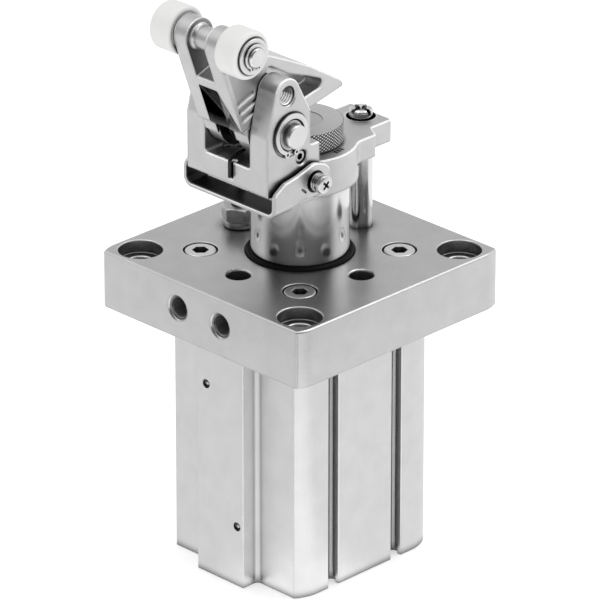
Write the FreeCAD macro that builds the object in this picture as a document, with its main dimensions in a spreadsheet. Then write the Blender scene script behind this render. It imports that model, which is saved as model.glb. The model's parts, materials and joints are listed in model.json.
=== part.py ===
import FreeCAD, Part
import math
import os
import re
import Sketcher

# A pneumatic pallet stopper: a cylinder hangs below a square flange, and its rod
# carries a forked head with a toggle lever, two rollers and a shock absorber.
# Millimetres, Z up. The origin is the centre of the flange's underside, on the rod's axis.
# The pallet arrives from -Y and meets the rollers on the lever.

doc = FreeCAD.newDocument("pallet_stopper")
sheet = doc.addObject("Spreadsheet::Sheet", "Sizes")

SIZES = {
    # Cylinder body: a drawn tube, square outside and round inside
    "body_wide": 74.7,
    "body_tall": 106.5,
    "body_edge_inset": 3.45,
    "body_corner": 12.0,
    "bore_dia": 63.0,
    "panel_wide": 26.4,
    "panel_proud": 8.15,
    "panel_fillet": 2.0,
    "slot_apart": 36.0,
    "slot_mouth": 5.4,
    "slot_neck": 2.0,
    "slot_inner": 8.0,
    "slot_deep": 5.6,
    "slot_bevel": 0.5,
    "slot_floor_bevel": 1.0,
    "duct_dia": 4.0,
    "duct_inset": 4.6,
    "upper_duct_side": 7.6,
    "upper_duct_rise": 84.5,
    "lower_duct_side": 9.6,
    "lower_duct_rise": 26.5,
    "plug_dia": 3.6,
    "plug_long": 3.5,
    "plug_inset": 0.9,
    "thread_spare": 2.0,
    # Mounting flange
    "flange_wide": 113.5,
    "flange_thick": 25.0,
    "flange_edge_inset": 2.15,
    "flange_corner": 12.0,
    "edge_bevel": 0.8,
    "bolt_apart": 90.4,
    "bolt_seat_dia": 18.0,
    "bolt_seat_deep": 5.5,
    "bolt_hole_dia": 10.5,
    "join_apart": 56.4,
    "join_seat_dia": 14.0,
    "join_head_dia": 13.0,
    "join_head_tall": 8.0,
    "join_thread_dia": 8.0,
    "join_thread_deep": 18.0,
    "join_hex": 6.0,
    "join_head_bevel": 0.4,
    "guide_radius": 34.5,
    "seat_hole_deep": 18.0,
    "seat_hole_bevel": 0.6,
    "ports_apart": 24.0,
    "port_drop": 11.5,
    "port_core_dia": 8.56,
    "port_deep": 12.0,
    "port_bevel": 0.8,
    # Spigot and sleeve that hang below the flange and guide the rod
    "spigot_deep": 14.0,
    "sleeve_dia": 54.0,
    "sleeve_deep": 11.0,
    "bush_dia": 46.0,
    "bush_lip": 2.0,
    "seal_lip": 1.0,
    "seal_tall": 4.5,
    "wiper_dia": 44.0,
    "wiper_deep": 5.0,
    "wiper_proud": 1.3,
    "wiper_slant": 0.4,
    "ring_groove": 2.6,
    "ring_groove_deep": 2.0,
    "buffer_thick": 1.5,
    "buffer_room": 1.0,
    # Closed end of the cylinder
    "cap_thick": 11.0,
    "cap_inset": 3.0,
    "cap_bevel": 1.0,
    "clip_thick": 1.6,
    "clip_grip": 1.5,
    "clip_wide": 4.5,
    # Piston and rod
    "rod_dia": 40.0,
    "rod_reach": 32.5,
    "rod_bore_dia": 30.0,
    "rod_bore_floor": 24.0,
    "rod_spigot_dia": 34.0,
    "rod_bevel": 1.0,
    "piston_tall": 14.0,
    "piston_land": 3.0,
    "piston_bevel": 0.5,
    "piston_groove_deep": 3.0,
    "piston_seal_tall": 2.6,
    "magnet_tall": 2.4,
    "piston_screw_dia": 12.0,
    "piston_screw_grip": 18.0,
    "piston_screw_head": 18.0,
    "piston_screw_head_tall": 6.0,
    "piston_screw_room": 0.5,
    "piston_screw_socket": 3.0,
    "spring_wire": 4.5,
    "spring_coil_dia": 46.0,
    "spring_turns": 4.0,
    # Guide rod and stop post that stand on the flange
    "guide_rod_dia": 9.84,
    "guide_rod_reach": 51.4,
    "guide_slot_wide": 2.0,
    "guide_slot_deep": 2.4,
    "post_base_dia": 13.0,
    "post_base_tall": 3.1,
    "post_nut_flats": 13.0,
    "post_nut_tall": 6.0,
    "post_stud_dia": 6.0,
    "post_reach": 11.0,
    "stud_bevel": 0.5,
    # Head casting, with heights above the collar's lower face
    "head_wide": 45.2,
    "head_front": 40.5,
    "fork_wide": 25.2,
    "floor_rise": 18.9,
    "nose_rise": 8.9,
    "nose_back": 27.5,
    "nose_round": 2.0,
    "keel_front": 25.0,
    "keel_rise": 1.0,
    "keel_round": 3.0,
    "cheek_back": 16.6,
    "cheek_step": 11.6,
    "cheek_step_rise": 25.2,
    "cheek_knee_rise": 33.9,
    "cheek_apex_front": 31.5,
    "cheek_apex_rise": 68.6,
    "cheek_back_rise": 39.9,
    "cheek_top_radius": 6.6,
    "collar_dia": 46.6,
    "collar_tall": 15.5,
    "relief_dia": 35.8,
    "arm_wide": 36.0,
    "arm_shoulder": 24.8,
    "arm_end_wide": 23.4,
    "arm_reach": 40.6,
    "arm_rise": 6.0,
    "arm_corner": 1.5,
    "arm_root": 5.0,
    "arm_root_round": 6.0,
    "guide_seat_dia": 11.8,
    "guide_seat_deep": 5.0,
    "lug_hole_front": 29.0,
    "lug_hole_rise": 49.4,
    "lug_hole_dia": 6.8,
    "grub_front": 21.4,
    "grub_rise": 21.2,
    "grub_dia": 5.6,
    "grub_deep": 7.0,
    "grub_inset": 1.2,
    # Adjusting ring and shock absorber
    "knob_dia": 34.9,
    "knob_tall": 8.1,
    "knob_lift": 0.6,
    "knob_bevel": 0.5,
    "knob_hub_dia": 18.0,
    "plunger_dia": 8.0,
    "plunger_reach": 35.85,
    "plunger_long": 42.0,
    "plunger_travel": 9.68,
    "plunger_dome": 1.2,
    "well_spare": 2.0,
    # Lever, drawn along its own arm from the axle
    "lean": 19.65,
    "axle_front": 28.0,
    "axle_rise": 33.0,
    "axle_dia": 14.0,
    "axle_end_dia": 10.0,
    "axle_end_reach": 27.1,
    "lever_wide": 24.8,
    "window_wide": 10.0,
    "chin_rise": 7.55,
    "foot_dia": 24.0,
    "window_top": 26.06,
    "bar_tall": 4.34,
    "roller_axle_front": 7.33,
    "roller_axle_rise": 45.2,
    "lever_head_dia": 14.8,
    "boss_dia": 10.4,
    "boss_long": 4.5,
    "tail_root_rise": 33.0,
    "tail_root_round": 4.0,
    "tail_top_back": 8.5,
    "tail_top_rise": 30.2,
    "tail_top_round": 5.0,
    "tail_mid_back": 23.0,
    "tail_mid_rise": 15.9,
    "tail_mid_round": 30.0,
    "tail_long": 40.2,
    "tail_tip_drop": 7.9,
    "tail_tip_top": 4.6,
    "tail_tip_slant": 0.8,
    "tail_tip_round": 2.0,
    "tail_edge_round": 1.2,
    "tail_root_drop": 4.0,
    "tail_web": 6.0,
    "recess_front": 0.8,
    "recess_top_back": 6.4,
    "recess_tip_back": 30.4,
    "recess_tip_rise": 2.4,
    "recess_low_back": 29.2,
    "recess_low_drop": 0.8,
    "recess_knee_back": 16.0,
    "recess_knee_rise": 1.0,
    "recess_heel_back": 9.6,
    "recess_heel_rise": 9.9,
    "recess_front_rise": 17.2,
    "recess_round": 1.5,
    "recess_tip_round": 2.2,
    "lever_edge_round": 1.6,
    "neck_inset": 3.0,
    "tail_root_inset": 1.0,
    "facet_front": 13.0,
    "facet_drop": 5.3,
    "facet_foot": 0.4,
    "facet_lap": 0.5,
    "coil_room_dia": 22.6,
    # Rollers and what holds them
    "roller_dia": 20.0,
    "roller_wide": 11.3,
    "roller_gap": 0.3,
    "roller_round": 2.0,
    "roller_axle_dia": 8.0,
    "roller_axle_end": 1.3,
    "washer_dia": 14.8,
    "washer_thick": 0.9,
    "clip_dia": 10.6,
    "circlip_thick": 1.0,
    "axle_clip_dia": 18.6,
    "axle_clip_thick": 1.2,
    "clip_groove_deep": 0.6,
    "pin_bevel": 0.5,
    # Lever spring
    "lever_wire": 1.4,
    "lever_coil_dia": 17.0,
    "lever_turns": 4.6,
    "leg_side": 2.5,
    "leg_front": 41.6,
    "leg_bend_rise": 20.4,
    "leg_drop": 8.4,
    # Release bail, bent from sheet, and its screws
    "bail_inner": 47.8,
    "bail_thick": 1.8,
    "bail_bend": 2.4,
    "bail_front": 17.0,
    "bail_rise": 10.5,
    "bail_crown_rise": 7.5,
    "bail_brow_front": 16.9,
    "bail_brow_rise": 3.7,
    "bail_cheek_front": 22.2,
    "bail_cheek_rise": 0.2,
    "bail_nose_front": 22.7,
    "bail_nose_drop": 2.1,
    "bail_web_drop": 8.3,
    "bail_web_back": 12.3,
    "bail_shin_front": 6.9,
    "bail_shin_drop": 6.0,
    "bail_sole_drop": 6.6,
    "bail_heel_back": 9.6,
    "bail_heel_drop": 3.4,
    "bail_back_back": 6.0,
    "bail_back_rise": 1.6,
    "bail_round": 1.5,
    "bail_screw_dia": 6.0,
    "bail_screw_head": 7.6,
    "bail_screw_head_tall": 2.4,
    "bail_screw_brow": 0.6,
    "bail_screw_slant": 0.8,
    "bail_screw_grip": 7.0,
    "bail_screw_thread": 4.2,
    "bail_spring_room": 3.5,
    "bail_wire": 0.9,
    "bail_coil_dia": 6.9,
    "bail_turns": 2.5,
    # Clearances, and how far a cut or a joined shape runs past the surface it meets
    "running": 0.05,
    "seated": 0.03,
    "side_play": 0.2,
    "guide_room": 0.08,
    "rod_room": 0.5,
    "clip_room": 0.1,
    "overlap": 1.0,
}
for row, (name, number) in enumerate(SIZES.items(), start=1):
    sheet.set(f"A{row}", name)
    sheet.set(f"B{row}", str(number))
    sheet.setAlias(f"B{row}", name)
doc.recompute()

# Places that several pieces share, written from the sizes
FLANGE_Z = "0"
DECK_Z = "flange_thick"
HEAD_Z = "(flange_thick + rod_reach)"
BUFFER_Z = "(-spigot_deep - sleeve_deep - buffer_thick)"
PISTON_Z = "(-spigot_deep - sleeve_deep - buffer_thick - piston_tall)"
CAP_Z = "(cap_inset - body_tall)"
COLLAR_TOP = "(flange_thick + rod_reach + collar_tall)"
ALONG_X = FreeCAD.Rotation(FreeCAD.Vector(0, 1, 0), 90)
ALONG_MINUS_X = FreeCAD.Rotation(FreeCAD.Vector(0, 1, 0), -90)
UPRIGHT = FreeCAD.Rotation()


def tied(text):
    """An expression on the sheet, from one written with bare size names."""
    return re.sub(r"[a-z_]+", lambda word: f"Sizes.{word[0]}" if word[0] in SIZES else word[0], text)


def worth(text):
    """The number that such an expression has now."""
    return float(sheet.evalExpression(tied(text)))


def point(x, y, z):
    return FreeCAD.Vector(worth(x), worth(y), worth(z))


def new_body(label, x="0", y="0", z="0", turn=UPRIGHT):
    body = doc.addObject("PartDesign::Body", label)
    body.Label = label
    body.Placement = FreeCAD.Placement(FreeCAD.Vector(), turn)
    for axis, text in zip("xyz", (x, y, z)):
        body.setExpression(f"Placement.Base.{axis}", tied(text))
    return body


def new_sketch(body, name, role, lift="0", across="0"):
    """A sketch on one of the body's own planes, lifted along the plane's normal."""
    sketch = body.newObject("Sketcher::SketchObject", name)
    origin_plane = next(item for item in body.Origin.OriginFeatures if item.Role == role)
    sketch.AttachmentSupport = (origin_plane, "")
    sketch.MapMode = "FlatFace"
    sketch.setExpression("AttachmentOffset.Base.z", tied(lift))
    sketch.setExpression("AttachmentOffset.Base.x", tied(across))
    return sketch


def pin_down(rules, geometry, place, x, y):
    """Hold one point of a sketch at x and y, both tied to the sheet."""
    for kind, text in (("DistanceX", x), ("DistanceY", y)):
        rules.append((Sketcher.Constraint(kind, -1, 1, geometry, place, worth(text)), text))


def apply_rules(sketch, rules):
    """Add the constraints together, then tie the ones that hold a size to the sheet."""
    indices = sketch.addConstraint([rule for rule, text in rules])
    for index, (rule, text) in zip(indices, rules):
        if text:
            sketch.setExpression(f"Constraints[{index}]", tied(text))


def draw_circle(sketch, rules, x, y, dia):
    centre = FreeCAD.Vector(worth(x), worth(y), 0)
    circle = sketch.addGeometry(Part.Circle(centre, FreeCAD.Vector(0, 0, 1), worth(dia) / 2), False)
    pin_down(rules, circle, 3, x, y)
    rules.append((Sketcher.Constraint("Diameter", circle, worth(dia)), dia))


def bend_ends(before, corner, after):
    """Where a corner's rounding starts and ends, as expressions."""
    x, y, radius = corner
    aims = []
    for other in (before, after):
        across, up = f"(({other[0]}) - ({x}))", f"(({other[1]}) - ({y}))"
        aims.append((f"{across} / hypot({across}; {up})", f"{up} / hypot({across}; {up})"))
    cosine = f"{aims[0][0]} * {aims[1][0]} + {aims[0][1]} * {aims[1][1]}"
    cut = f"({radius}) / tan(acos({cosine}) / 2)"
    return [(f"{x} + {aim_x} * {cut}", f"{y} + {aim_y} * {cut}") for aim_x, aim_y in aims]


def draw_outline(sketch, rules, corners):
    """A closed outline of straight sides. A corner is (x, y) or (x, y, radius)."""
    count = len(corners)
    bends = []
    for i, corner in enumerate(corners):
        if len(corner) == 3:
            bends.append(bend_ends(corners[i - 1], corner, corners[(i + 1) % count]))
        else:
            bends.append([corner, corner])
    spots = [[FreeCAD.Vector(worth(x), worth(y), 0) for x, y in bend] for bend in bends]
    sides = []
    for i in range(count):
        side = sketch.addGeometry(Part.LineSegment(spots[i][1], spots[(i + 1) % count][0]), False)
        pin_down(rules, side, 1, *bends[i][1])
        sides.append(side)
    for i, corner in enumerate(corners):
        before, after = sides[i - 1], sides[i]
        if len(corner) == 2:
            rules.append((Sketcher.Constraint("Coincident", before, 2, after, 1), None))
            continue
        tip = FreeCAD.Vector(worth(corner[0]), worth(corner[1]), 0)
        halfway = (spots[i][0] + spots[i][1]) / 2
        radius = worth(corner[2])
        reach = math.hypot(radius, (spots[i][0] - tip).Length)
        middle = tip + (halfway - tip).normalize() * (reach - radius)
        start, end = spots[i]
        leftward = (middle - start).cross(end - middle).z > 0
        entry, leave = (1, 2) if leftward else (2, 1)
        ends = (start, middle, end) if leftward else (end, middle, start)
        arc = sketch.addGeometry(Part.Arc(*ends), False)
        pin_down(rules, before, 2, *bends[i][0])
        rules.append((Sketcher.Constraint("Coincident", before, 2, arc, entry), None))
        rules.append((Sketcher.Constraint("Coincident", after, 1, arc, leave), None))
        rules.append((Sketcher.Constraint("Radius", arc, radius), corner[2]))


def draw(sketch, shapes):
    """Shapes are circles (x, y, diameter) in a tuple, or outlines in a list."""
    rules = []
    for shape in shapes:
        if isinstance(shape, tuple):
            draw_circle(sketch, rules, *shape)
        else:
            draw_outline(sketch, rules, shape)
    apply_rules(sketch, rules)


def pad(body, name, role, shapes, long, lift="0", both_ways=False, back=False):
    sketch = new_sketch(body, f"{name}_sketch", role, lift)
    draw(sketch, shapes)
    feature = body.newObject("PartDesign::Pad", name)
    feature.Profile = sketch
    feature.setExpression("Length", tied(long))
    feature.Reversed = back
    if both_ways:
        feature.SideType = "Symmetric"
    return feature


def pocket(body, name, role, shapes, deep, lift="0", both_ways=False, back=False):
    sketch = new_sketch(body, f"{name}_sketch", role, lift)
    draw(sketch, shapes)
    feature = body.newObject("PartDesign::Pocket", name)
    feature.Profile = sketch
    feature.setExpression("Length", tied(deep))
    feature.Reversed = back
    if both_ways:
        feature.SideType = "Symmetric"
    return feature


def spin(body, name, corners, kind="PartDesign::Revolution", across="0"):
    """Turn a half section, drawn as (radius, height) corners, about its own upright axis."""
    sketch = new_sketch(body, f"{name}_sketch", "XZ_Plane", "0", across)
    draw(sketch, [corners])
    feature = body.newObject(kind, name)
    feature.Profile = sketch
    feature.ReferenceAxis = (sketch, ["V_Axis"])
    feature.Angle = 360
    return feature


def turned(label, corners, x="0", y="0", z="0", turn=UPRIGHT):
    body = new_body(label, x, y, z, turn)
    spin(body, f"{label}_turned", corners)
    return body


def collar_section(inner, outer, low, high):
    """The half section of a plain ring."""
    return [(inner, low), (outer, low), (outer, high), (inner, high)]


def rectangle(x_low, y_low, x_high, y_high):
    return [(x_low, y_low), (x_high, y_low), (x_high, y_high), (x_low, y_high)]


def four_corners(apart, dia):
    half = f"{apart} / 2"
    return [(f"{sx}{half}", f"{sy}{half}", dia) for sx in ("", "-") for sy in ("", "-")]


def square_outline(wide, inset, corner):
    """A square whose corner arcs run out smoothly into the +X and -X sides, and start
    inset from the ends of the other two."""
    half = worth(wide) / 2
    run = worth(corner) - worth(inset)
    centre_x = half - worth(corner)
    rise = math.sqrt(worth(corner) ** 2 - run ** 2)
    centre_y = half - rise
    slant = math.atan2(rise, run) / 2
    middle = (centre_x + worth(corner) * math.cos(slant), centre_y + worth(corner) * math.sin(slant))
    flat_end = (half - worth(inset), half)
    side_end = (half, centre_y)
    return flat_end, middle, side_end


def draw_square(sketch, wide, inset, corner):
    flat_end, middle, side_end = square_outline(wide, inset, corner)
    flat = f"({wide} / 2 - {inset})"
    path = []
    for sx, sy in ((1, 1), (-1, 1), (-1, -1), (1, -1)):
        places = [side_end, middle, flat_end]
        if sx * sy < 0:
            places.reverse()
        path.append([FreeCAD.Vector(sx * px, sy * py, 0) for px, py in places])
    lines, arcs, rules = [], [], []
    for i, (start, middle_spot, end) in enumerate(path):
        arcs.append(sketch.addGeometry(Part.Arc(start, middle_spot, end), False))
        lines.append(sketch.addGeometry(Part.LineSegment(end, path[(i + 1) % 4][0]), False))
    for i in range(4):
        arc, line = arcs[i], lines[i]
        first, last = ("Coincident", "Tangent") if i % 2 else ("Tangent", "Coincident")
        rules.append((Sketcher.Constraint(last, arc, 2, line, 1), None))
        rules.append((Sketcher.Constraint(first, lines[i - 1], 2, arc, 1), None))
        rules.append((Sketcher.Constraint("Radius", arc, worth(corner)), corner))
    pin_down(rules, lines[0], 1, flat, f"{wide} / 2")
    pin_down(rules, lines[0], 2, f"-{flat}", f"{wide} / 2")
    pin_down(rules, lines[2], 1, f"-{flat}", f"-{wide} / 2")
    pin_down(rules, lines[2], 2, flat, f"-{wide} / 2")
    for line, side in ((lines[1], f"-{wide} / 2"), (lines[3], f"{wide} / 2")):
        rules.append((Sketcher.Constraint("DistanceX", -1, 1, line, 1, worth(side)), side))
        rules.append((Sketcher.Constraint("Vertical", line), None))
    apply_rules(sketch, rules)


def square_pad(body, name, wide, inset, corner, long):
    sketch = new_sketch(body, f"{name}_sketch", "XY_Plane")
    draw_square(sketch, wide, inset, corner)
    feature = body.newObject("PartDesign::Pad", name)
    feature.Profile = sketch
    feature.setExpression("Length", tied(long))
    return feature


def round_off(body, name, base, radius, wanted, kind="PartDesign::Fillet"):
    """Round or bevel the edges of the last feature that the test picks."""
    doc.recompute()
    picked = [f"Edge{i}" for i, edge in enumerate(base.Shape.Edges, start=1) if wanted(edge)]
    feature = body.newObject(kind, name)
    feature.Base = (base, picked)
    feature.setExpression("Radius" if kind.endswith("Fillet") else "Size", tied(radius))
    return feature


def upright_line(edge, x, y):
    """True for a straight edge along Z at x and y."""
    ends = [vertex.Point for vertex in edge.Vertexes]
    if len(ends) != 2 or not isinstance(edge.Curve, Part.Line):
        return False
    return all(abs(spot.x - x) < 1e-3 and abs(spot.y - y) < 1e-3 for spot in ends)


def along_arm(edge, x, y):
    """True for a straight edge across Z that keeps to x and y."""
    box = edge.BoundBox
    gaps = (box.XMin - x, box.XMax - x, box.YMin - y, box.YMax - y)
    return isinstance(edge.Curve, Part.Line) and all(abs(gap) < 1e-3 for gap in gaps)


def flat_at(edge, height):
    return edge.BoundBox.ZLength < 1e-6 and abs(edge.BoundBox.ZMin - height) < 1e-4


def round_rim(edge, dia):
    return isinstance(edge.Curve, Part.Circle) and abs(2 * edge.Curve.Radius - worth(dia)) < 1e-6


def make_cylinder_body():
    body = new_body("cylinder_body", z="-body_tall")
    square_pad(body, "tube", "body_wide", "body_edge_inset", "body_corner", "body_tall")
    front = "-body_wide / 2"
    proud = "-(body_wide / 2 + panel_proud)"
    side = "panel_wide / 2"
    panel = [
        (f"-{side}", proud, "panel_fillet / 2"), (side, proud, "panel_fillet / 2"),
        (side, f"{front} + panel_fillet"), (f"-{side}", f"{front} + panel_fillet"),
    ]
    raised = pad(body, "duct_panel", "XY_Plane", [panel], "body_tall")
    foot = worth("panel_wide / 2")
    root = worth("-body_wide / 2")
    round_off(body, "panel_root", raised, "panel_fillet", lambda edge: (
        upright_line(edge, foot, root) or upright_line(edge, -foot, root)))
    pocket(body, "bore", "XY_Plane", [("0", "0", "bore_dia")], "body_tall", back=True)
    spin(body, "clip_groove", collar_section(
        "bore_dia / 2 - overlap", "bore_dia / 2 + clip_grip",
        "cap_inset - clip_thick - clip_room", "cap_inset"), "PartDesign::Groove")
    for side_name, sign in (("right", ""), ("left", "-")):
        slots = []
        face = f"{sign}body_wide / 2"
        for where in ("slot_apart / 2", "-slot_apart / 2"):
            slots.append(slot_outline(face, "-" if sign == "" else "+", where))
        pocket(body, f"sensor_slots_{side_name}", "XY_Plane", slots, "body_tall", back=True)
    pocket(body, "tapped_holes", "XY_Plane", four_corners("join_apart", "join_thread_dia + 2 * seated"),
           "join_thread_deep + thread_spare", lift="body_tall")
    duct_y = "-(body_wide / 2 + panel_proud - duct_inset)"
    for name, x, rise in (("upper", "-upper_duct_side", "upper_duct_rise"),
                          ("lower", "lower_duct_side", "lower_duct_rise")):
        pocket(body, f"{name}_duct", "XY_Plane", [(x, duct_y, "duct_dia")],
               f"body_tall - {rise}", lift="body_tall")
        pocket(body, f"{name}_cross_hole", "XZ_Plane", [(x, rise, "plug_dia")],
               "body_wide / 2 + panel_proud - bore_dia / 2 + duct_dia",
               lift="body_wide / 2 + panel_proud")


def slot_outline(face, inward, y):
    """One sensor slot: a bevelled mouth, a neck and a wider groove behind it."""
    half = [
        ("-slot_bevel", "slot_mouth / 2 + 2 * slot_bevel"), ("slot_bevel", "slot_mouth / 2"),
        ("slot_neck", "slot_mouth / 2"), ("slot_neck", "slot_inner / 2"),
        ("slot_deep - slot_floor_bevel", "slot_inner / 2"),
        ("slot_deep", "slot_inner / 2 - slot_floor_bevel"),
    ]
    one_side = [(f"{face} {inward} ({deep})", f"{y} - ({wide})") for deep, wide in half]
    other_side = [(f"{face} {inward} ({deep})", f"{y} + ({wide})") for deep, wide in reversed(half)]
    return one_side + other_side


def make_flange():
    body = new_body("mounting_flange", z=FLANGE_Z)
    plate = square_pad(body, "plate", "flange_wide", "flange_edge_inset", "flange_corner", "flange_thick")
    thick = worth("flange_thick")
    round_off(body, "edges_broken", plate, "edge_bevel",
              lambda edge: flat_at(edge, 0) or flat_at(edge, thick), "PartDesign::Chamfer")
    spigot = "bore_dia / 2 - running"
    groove = "bore_dia / 2 - running - ring_groove_deep"
    low = "-spigot_deep"
    spin(body, "spigot", [
        ("0", "overlap"), (spigot, "overlap"), (spigot, "-spigot_deep / 2 + ring_groove / 2"),
        (groove, "-spigot_deep / 2 + ring_groove / 2"), (groove, "-spigot_deep / 2 - ring_groove / 2"),
        (spigot, "-spigot_deep / 2 - ring_groove / 2"), (spigot, low), ("sleeve_dia / 2", low),
        ("sleeve_dia / 2", "-spigot_deep - sleeve_deep"), ("0", "-spigot_deep - sleeve_deep"),
    ])
    seal_low = "flange_thick - wiper_deep - seal_tall"
    over = "flange_thick + overlap"
    foot = "-spigot_deep - sleeve_deep"
    passage = "rod_dia / 2 + rod_room"
    spin(body, "rod_passage", [
        ("0", f"{foot} - overlap"), (passage, f"{foot} - overlap"), (passage, f"{foot} + bush_lip"),
        ("bush_dia / 2", f"{foot} + bush_lip"), ("bush_dia / 2", f"{seal_low} - seal_lip"),
        (passage, f"{seal_low} - seal_lip"), (passage, seal_low),
        ("bush_dia / 2", seal_low), ("bush_dia / 2", "flange_thick - wiper_deep"),
        ("wiper_dia / 2", "flange_thick - wiper_deep"), ("wiper_dia / 2", over), ("0", over),
    ], "PartDesign::Groove")
    pocket(body, "bolt_holes", "XY_Plane", four_corners("bolt_apart", "bolt_hole_dia"),
           "flange_thick", lift="flange_thick")
    pocket(body, "bolt_seats", "XY_Plane", four_corners("bolt_apart", "bolt_seat_dia"),
           "bolt_seat_deep", lift="flange_thick")
    pocket(body, "join_holes", "XY_Plane", four_corners("join_apart", "join_thread_dia + 2 * running"),
           "flange_thick", lift="flange_thick")
    pocket(body, "join_seats", "XY_Plane", four_corners("join_apart", "join_seat_dia"),
           "join_head_tall", lift="flange_thick")
    seats = [("guide_radius", "0"), ("0", "guide_radius"), ("-guide_radius", "0"), ("0", "-guide_radius")]
    pocket(body, "guide_seats", "XY_Plane",
           [(x, y, "guide_rod_dia + 2 * seated") for x, y in seats], "seat_hole_deep", lift="flange_thick")
    front = "flange_wide / 2"
    port_z = "flange_thick - port_drop"
    ports = [(f"{sign}ports_apart / 2", port_z) for sign in ("", "-")]
    drilled = pocket(body, "ports", "XZ_Plane", [(x, z, "port_core_dia") for x, z in ports],
                     "port_deep", lift=front)
    face = worth(f"-{front}")
    bevelled = round_off(body, "port_bevels", drilled, "port_bevel", lambda edge: (
        round_rim(edge, "port_core_dia") and abs(edge.BoundBox.YMax - face) < 1e-4), "PartDesign::Chamfer")
    round_off(body, "seat_bevels", bevelled, "seat_hole_bevel", lambda edge: (
        flat_at(edge, thick) and round_rim(edge, "guide_rod_dia + 2 * seated")
        and edge.Curve.Center.x - edge.Curve.Center.y > worth("guide_radius / 2")), "PartDesign::Chamfer")


def make_joining_screws():
    """Four socket screws that hold the flange on the body."""
    body = new_body("joining_screws", z=DECK_Z)
    body.AllowCompound = True
    head, shank = "join_head_dia / 2", "join_thread_dia / 2"
    across = "join_apart / 2"
    low = "-(flange_thick + join_thread_deep)"
    screw = spin(body, "screw", [
        ("0", "-join_head_tall / 2"), ("join_hex / 2", "-join_head_tall / 2"), ("join_hex / 2", "0"),
        (f"{head} - join_head_bevel", "0"), (head, "-join_head_bevel"), (head, "-join_head_tall"),
        (shank, "-join_head_tall"), (shank, low), ("0", low),
    ], across=across)
    screw.Profile[0].setExpression("AttachmentOffset.Base.z", tied("-join_apart / 2"))
    spread = body.newObject("PartDesign::PolarPattern", "around")
    spread.Originals = [screw]
    spread.Axis = (next(item for item in body.Origin.OriginFeatures if item.Role == "Z_Axis"), [""])
    spread.Angle = 360
    spread.Occurrences = 4
    body.Tip = spread


def helix_solid(mean_radius, wire_radius, low, turns, pitch, sides=10):
    """A round wire wound up the Z axis."""
    path = Part.makeHelix(pitch, pitch * turns, mean_radius)
    path.translate(FreeCAD.Vector(0, 0, low))
    ring = [FreeCAD.Vector(mean_radius + wire_radius * math.cos(2 * math.pi * i / sides), 0,
                           low + wire_radius * math.sin(2 * math.pi * i / sides)) for i in range(sides)]
    section = Part.makePolygon(ring + [ring[0]])
    return Part.Wire(path).makePipeShell([section], True, True)


def add_shape(label, shape, place=None):
    feature = doc.addObject("Part::Feature", label)
    feature.Label = label
    feature.Shape = shape
    feature.Placement = place or FreeCAD.Placement()
    return feature


def make_closed_end():
    inner = "bore_dia / 2 - running"
    turned("end_cap", [
        ("0", "0"), (f"{inner} - cap_bevel", "0"), (inner, "cap_bevel"),
        (inner, "cap_thick / 2 - ring_groove / 2"),
        (f"{inner} - ring_groove_deep", "cap_thick / 2 - ring_groove / 2"),
        (f"{inner} - ring_groove_deep", "cap_thick / 2 + ring_groove / 2"),
        (inner, "cap_thick / 2 + ring_groove / 2"), (inner, "cap_thick"), ("0", "cap_thick"),
    ], z=CAP_Z)
    middles = (("end_cap_seal", f"{CAP_Z} + cap_thick / 2"), ("flange_seal", "-spigot_deep / 2"))
    for label, middle in middles:
        turned(label, collar_section(
            f"{inner} - ring_groove_deep", "bore_dia / 2", "-ring_groove / 2", "ring_groove / 2"), z=middle)
    ring = Part.makeCylinder(worth("bore_dia / 2 + clip_grip"), worth("clip_thick"))
    ring = ring.cut(Part.makeCylinder(worth("bore_dia / 2 - clip_wide + clip_grip"), worth("clip_thick")))
    mouth = Part.makeBox(worth("clip_wide * 2"), worth("clip_wide * 4"), worth("clip_thick"))
    mouth.translate(FreeCAD.Vector(-worth("clip_wide"), worth("bore_dia / 2 - clip_wide * 2"), 0))
    place = FreeCAD.Placement(point("0", "0", f"{CAP_Z} - clip_thick"), UPRIGHT)
    add_shape("retaining_ring", ring.cut(mouth), place)


def make_rod_guides():
    foot = "-spigot_deep - sleeve_deep"
    seal_low = "flange_thick - wiper_deep - seal_tall"
    slide = "rod_dia / 2 + running"
    turned("rod_bush", collar_section(
        slide, "bush_dia / 2", f"{foot} + bush_lip", f"{seal_low} - seal_lip"), z=FLANGE_Z)
    turned("rod_seal", collar_section(slide, "bush_dia / 2", seal_low, "flange_thick - wiper_deep"),
           z=FLANGE_Z)
    turned("wiper_ring", [
        (slide, "-wiper_deep"), ("wiper_dia / 2", "-wiper_deep"), ("wiper_dia / 2", "0"),
        ("wiper_dia / 2 - wiper_slant", "wiper_proud"), (slide, "wiper_proud"),
    ], z=DECK_Z)
    turned("end_buffer", collar_section(
        "rod_dia / 2 + buffer_room", "sleeve_dia / 2", "0", "buffer_thick"), z=BUFFER_Z)


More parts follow.
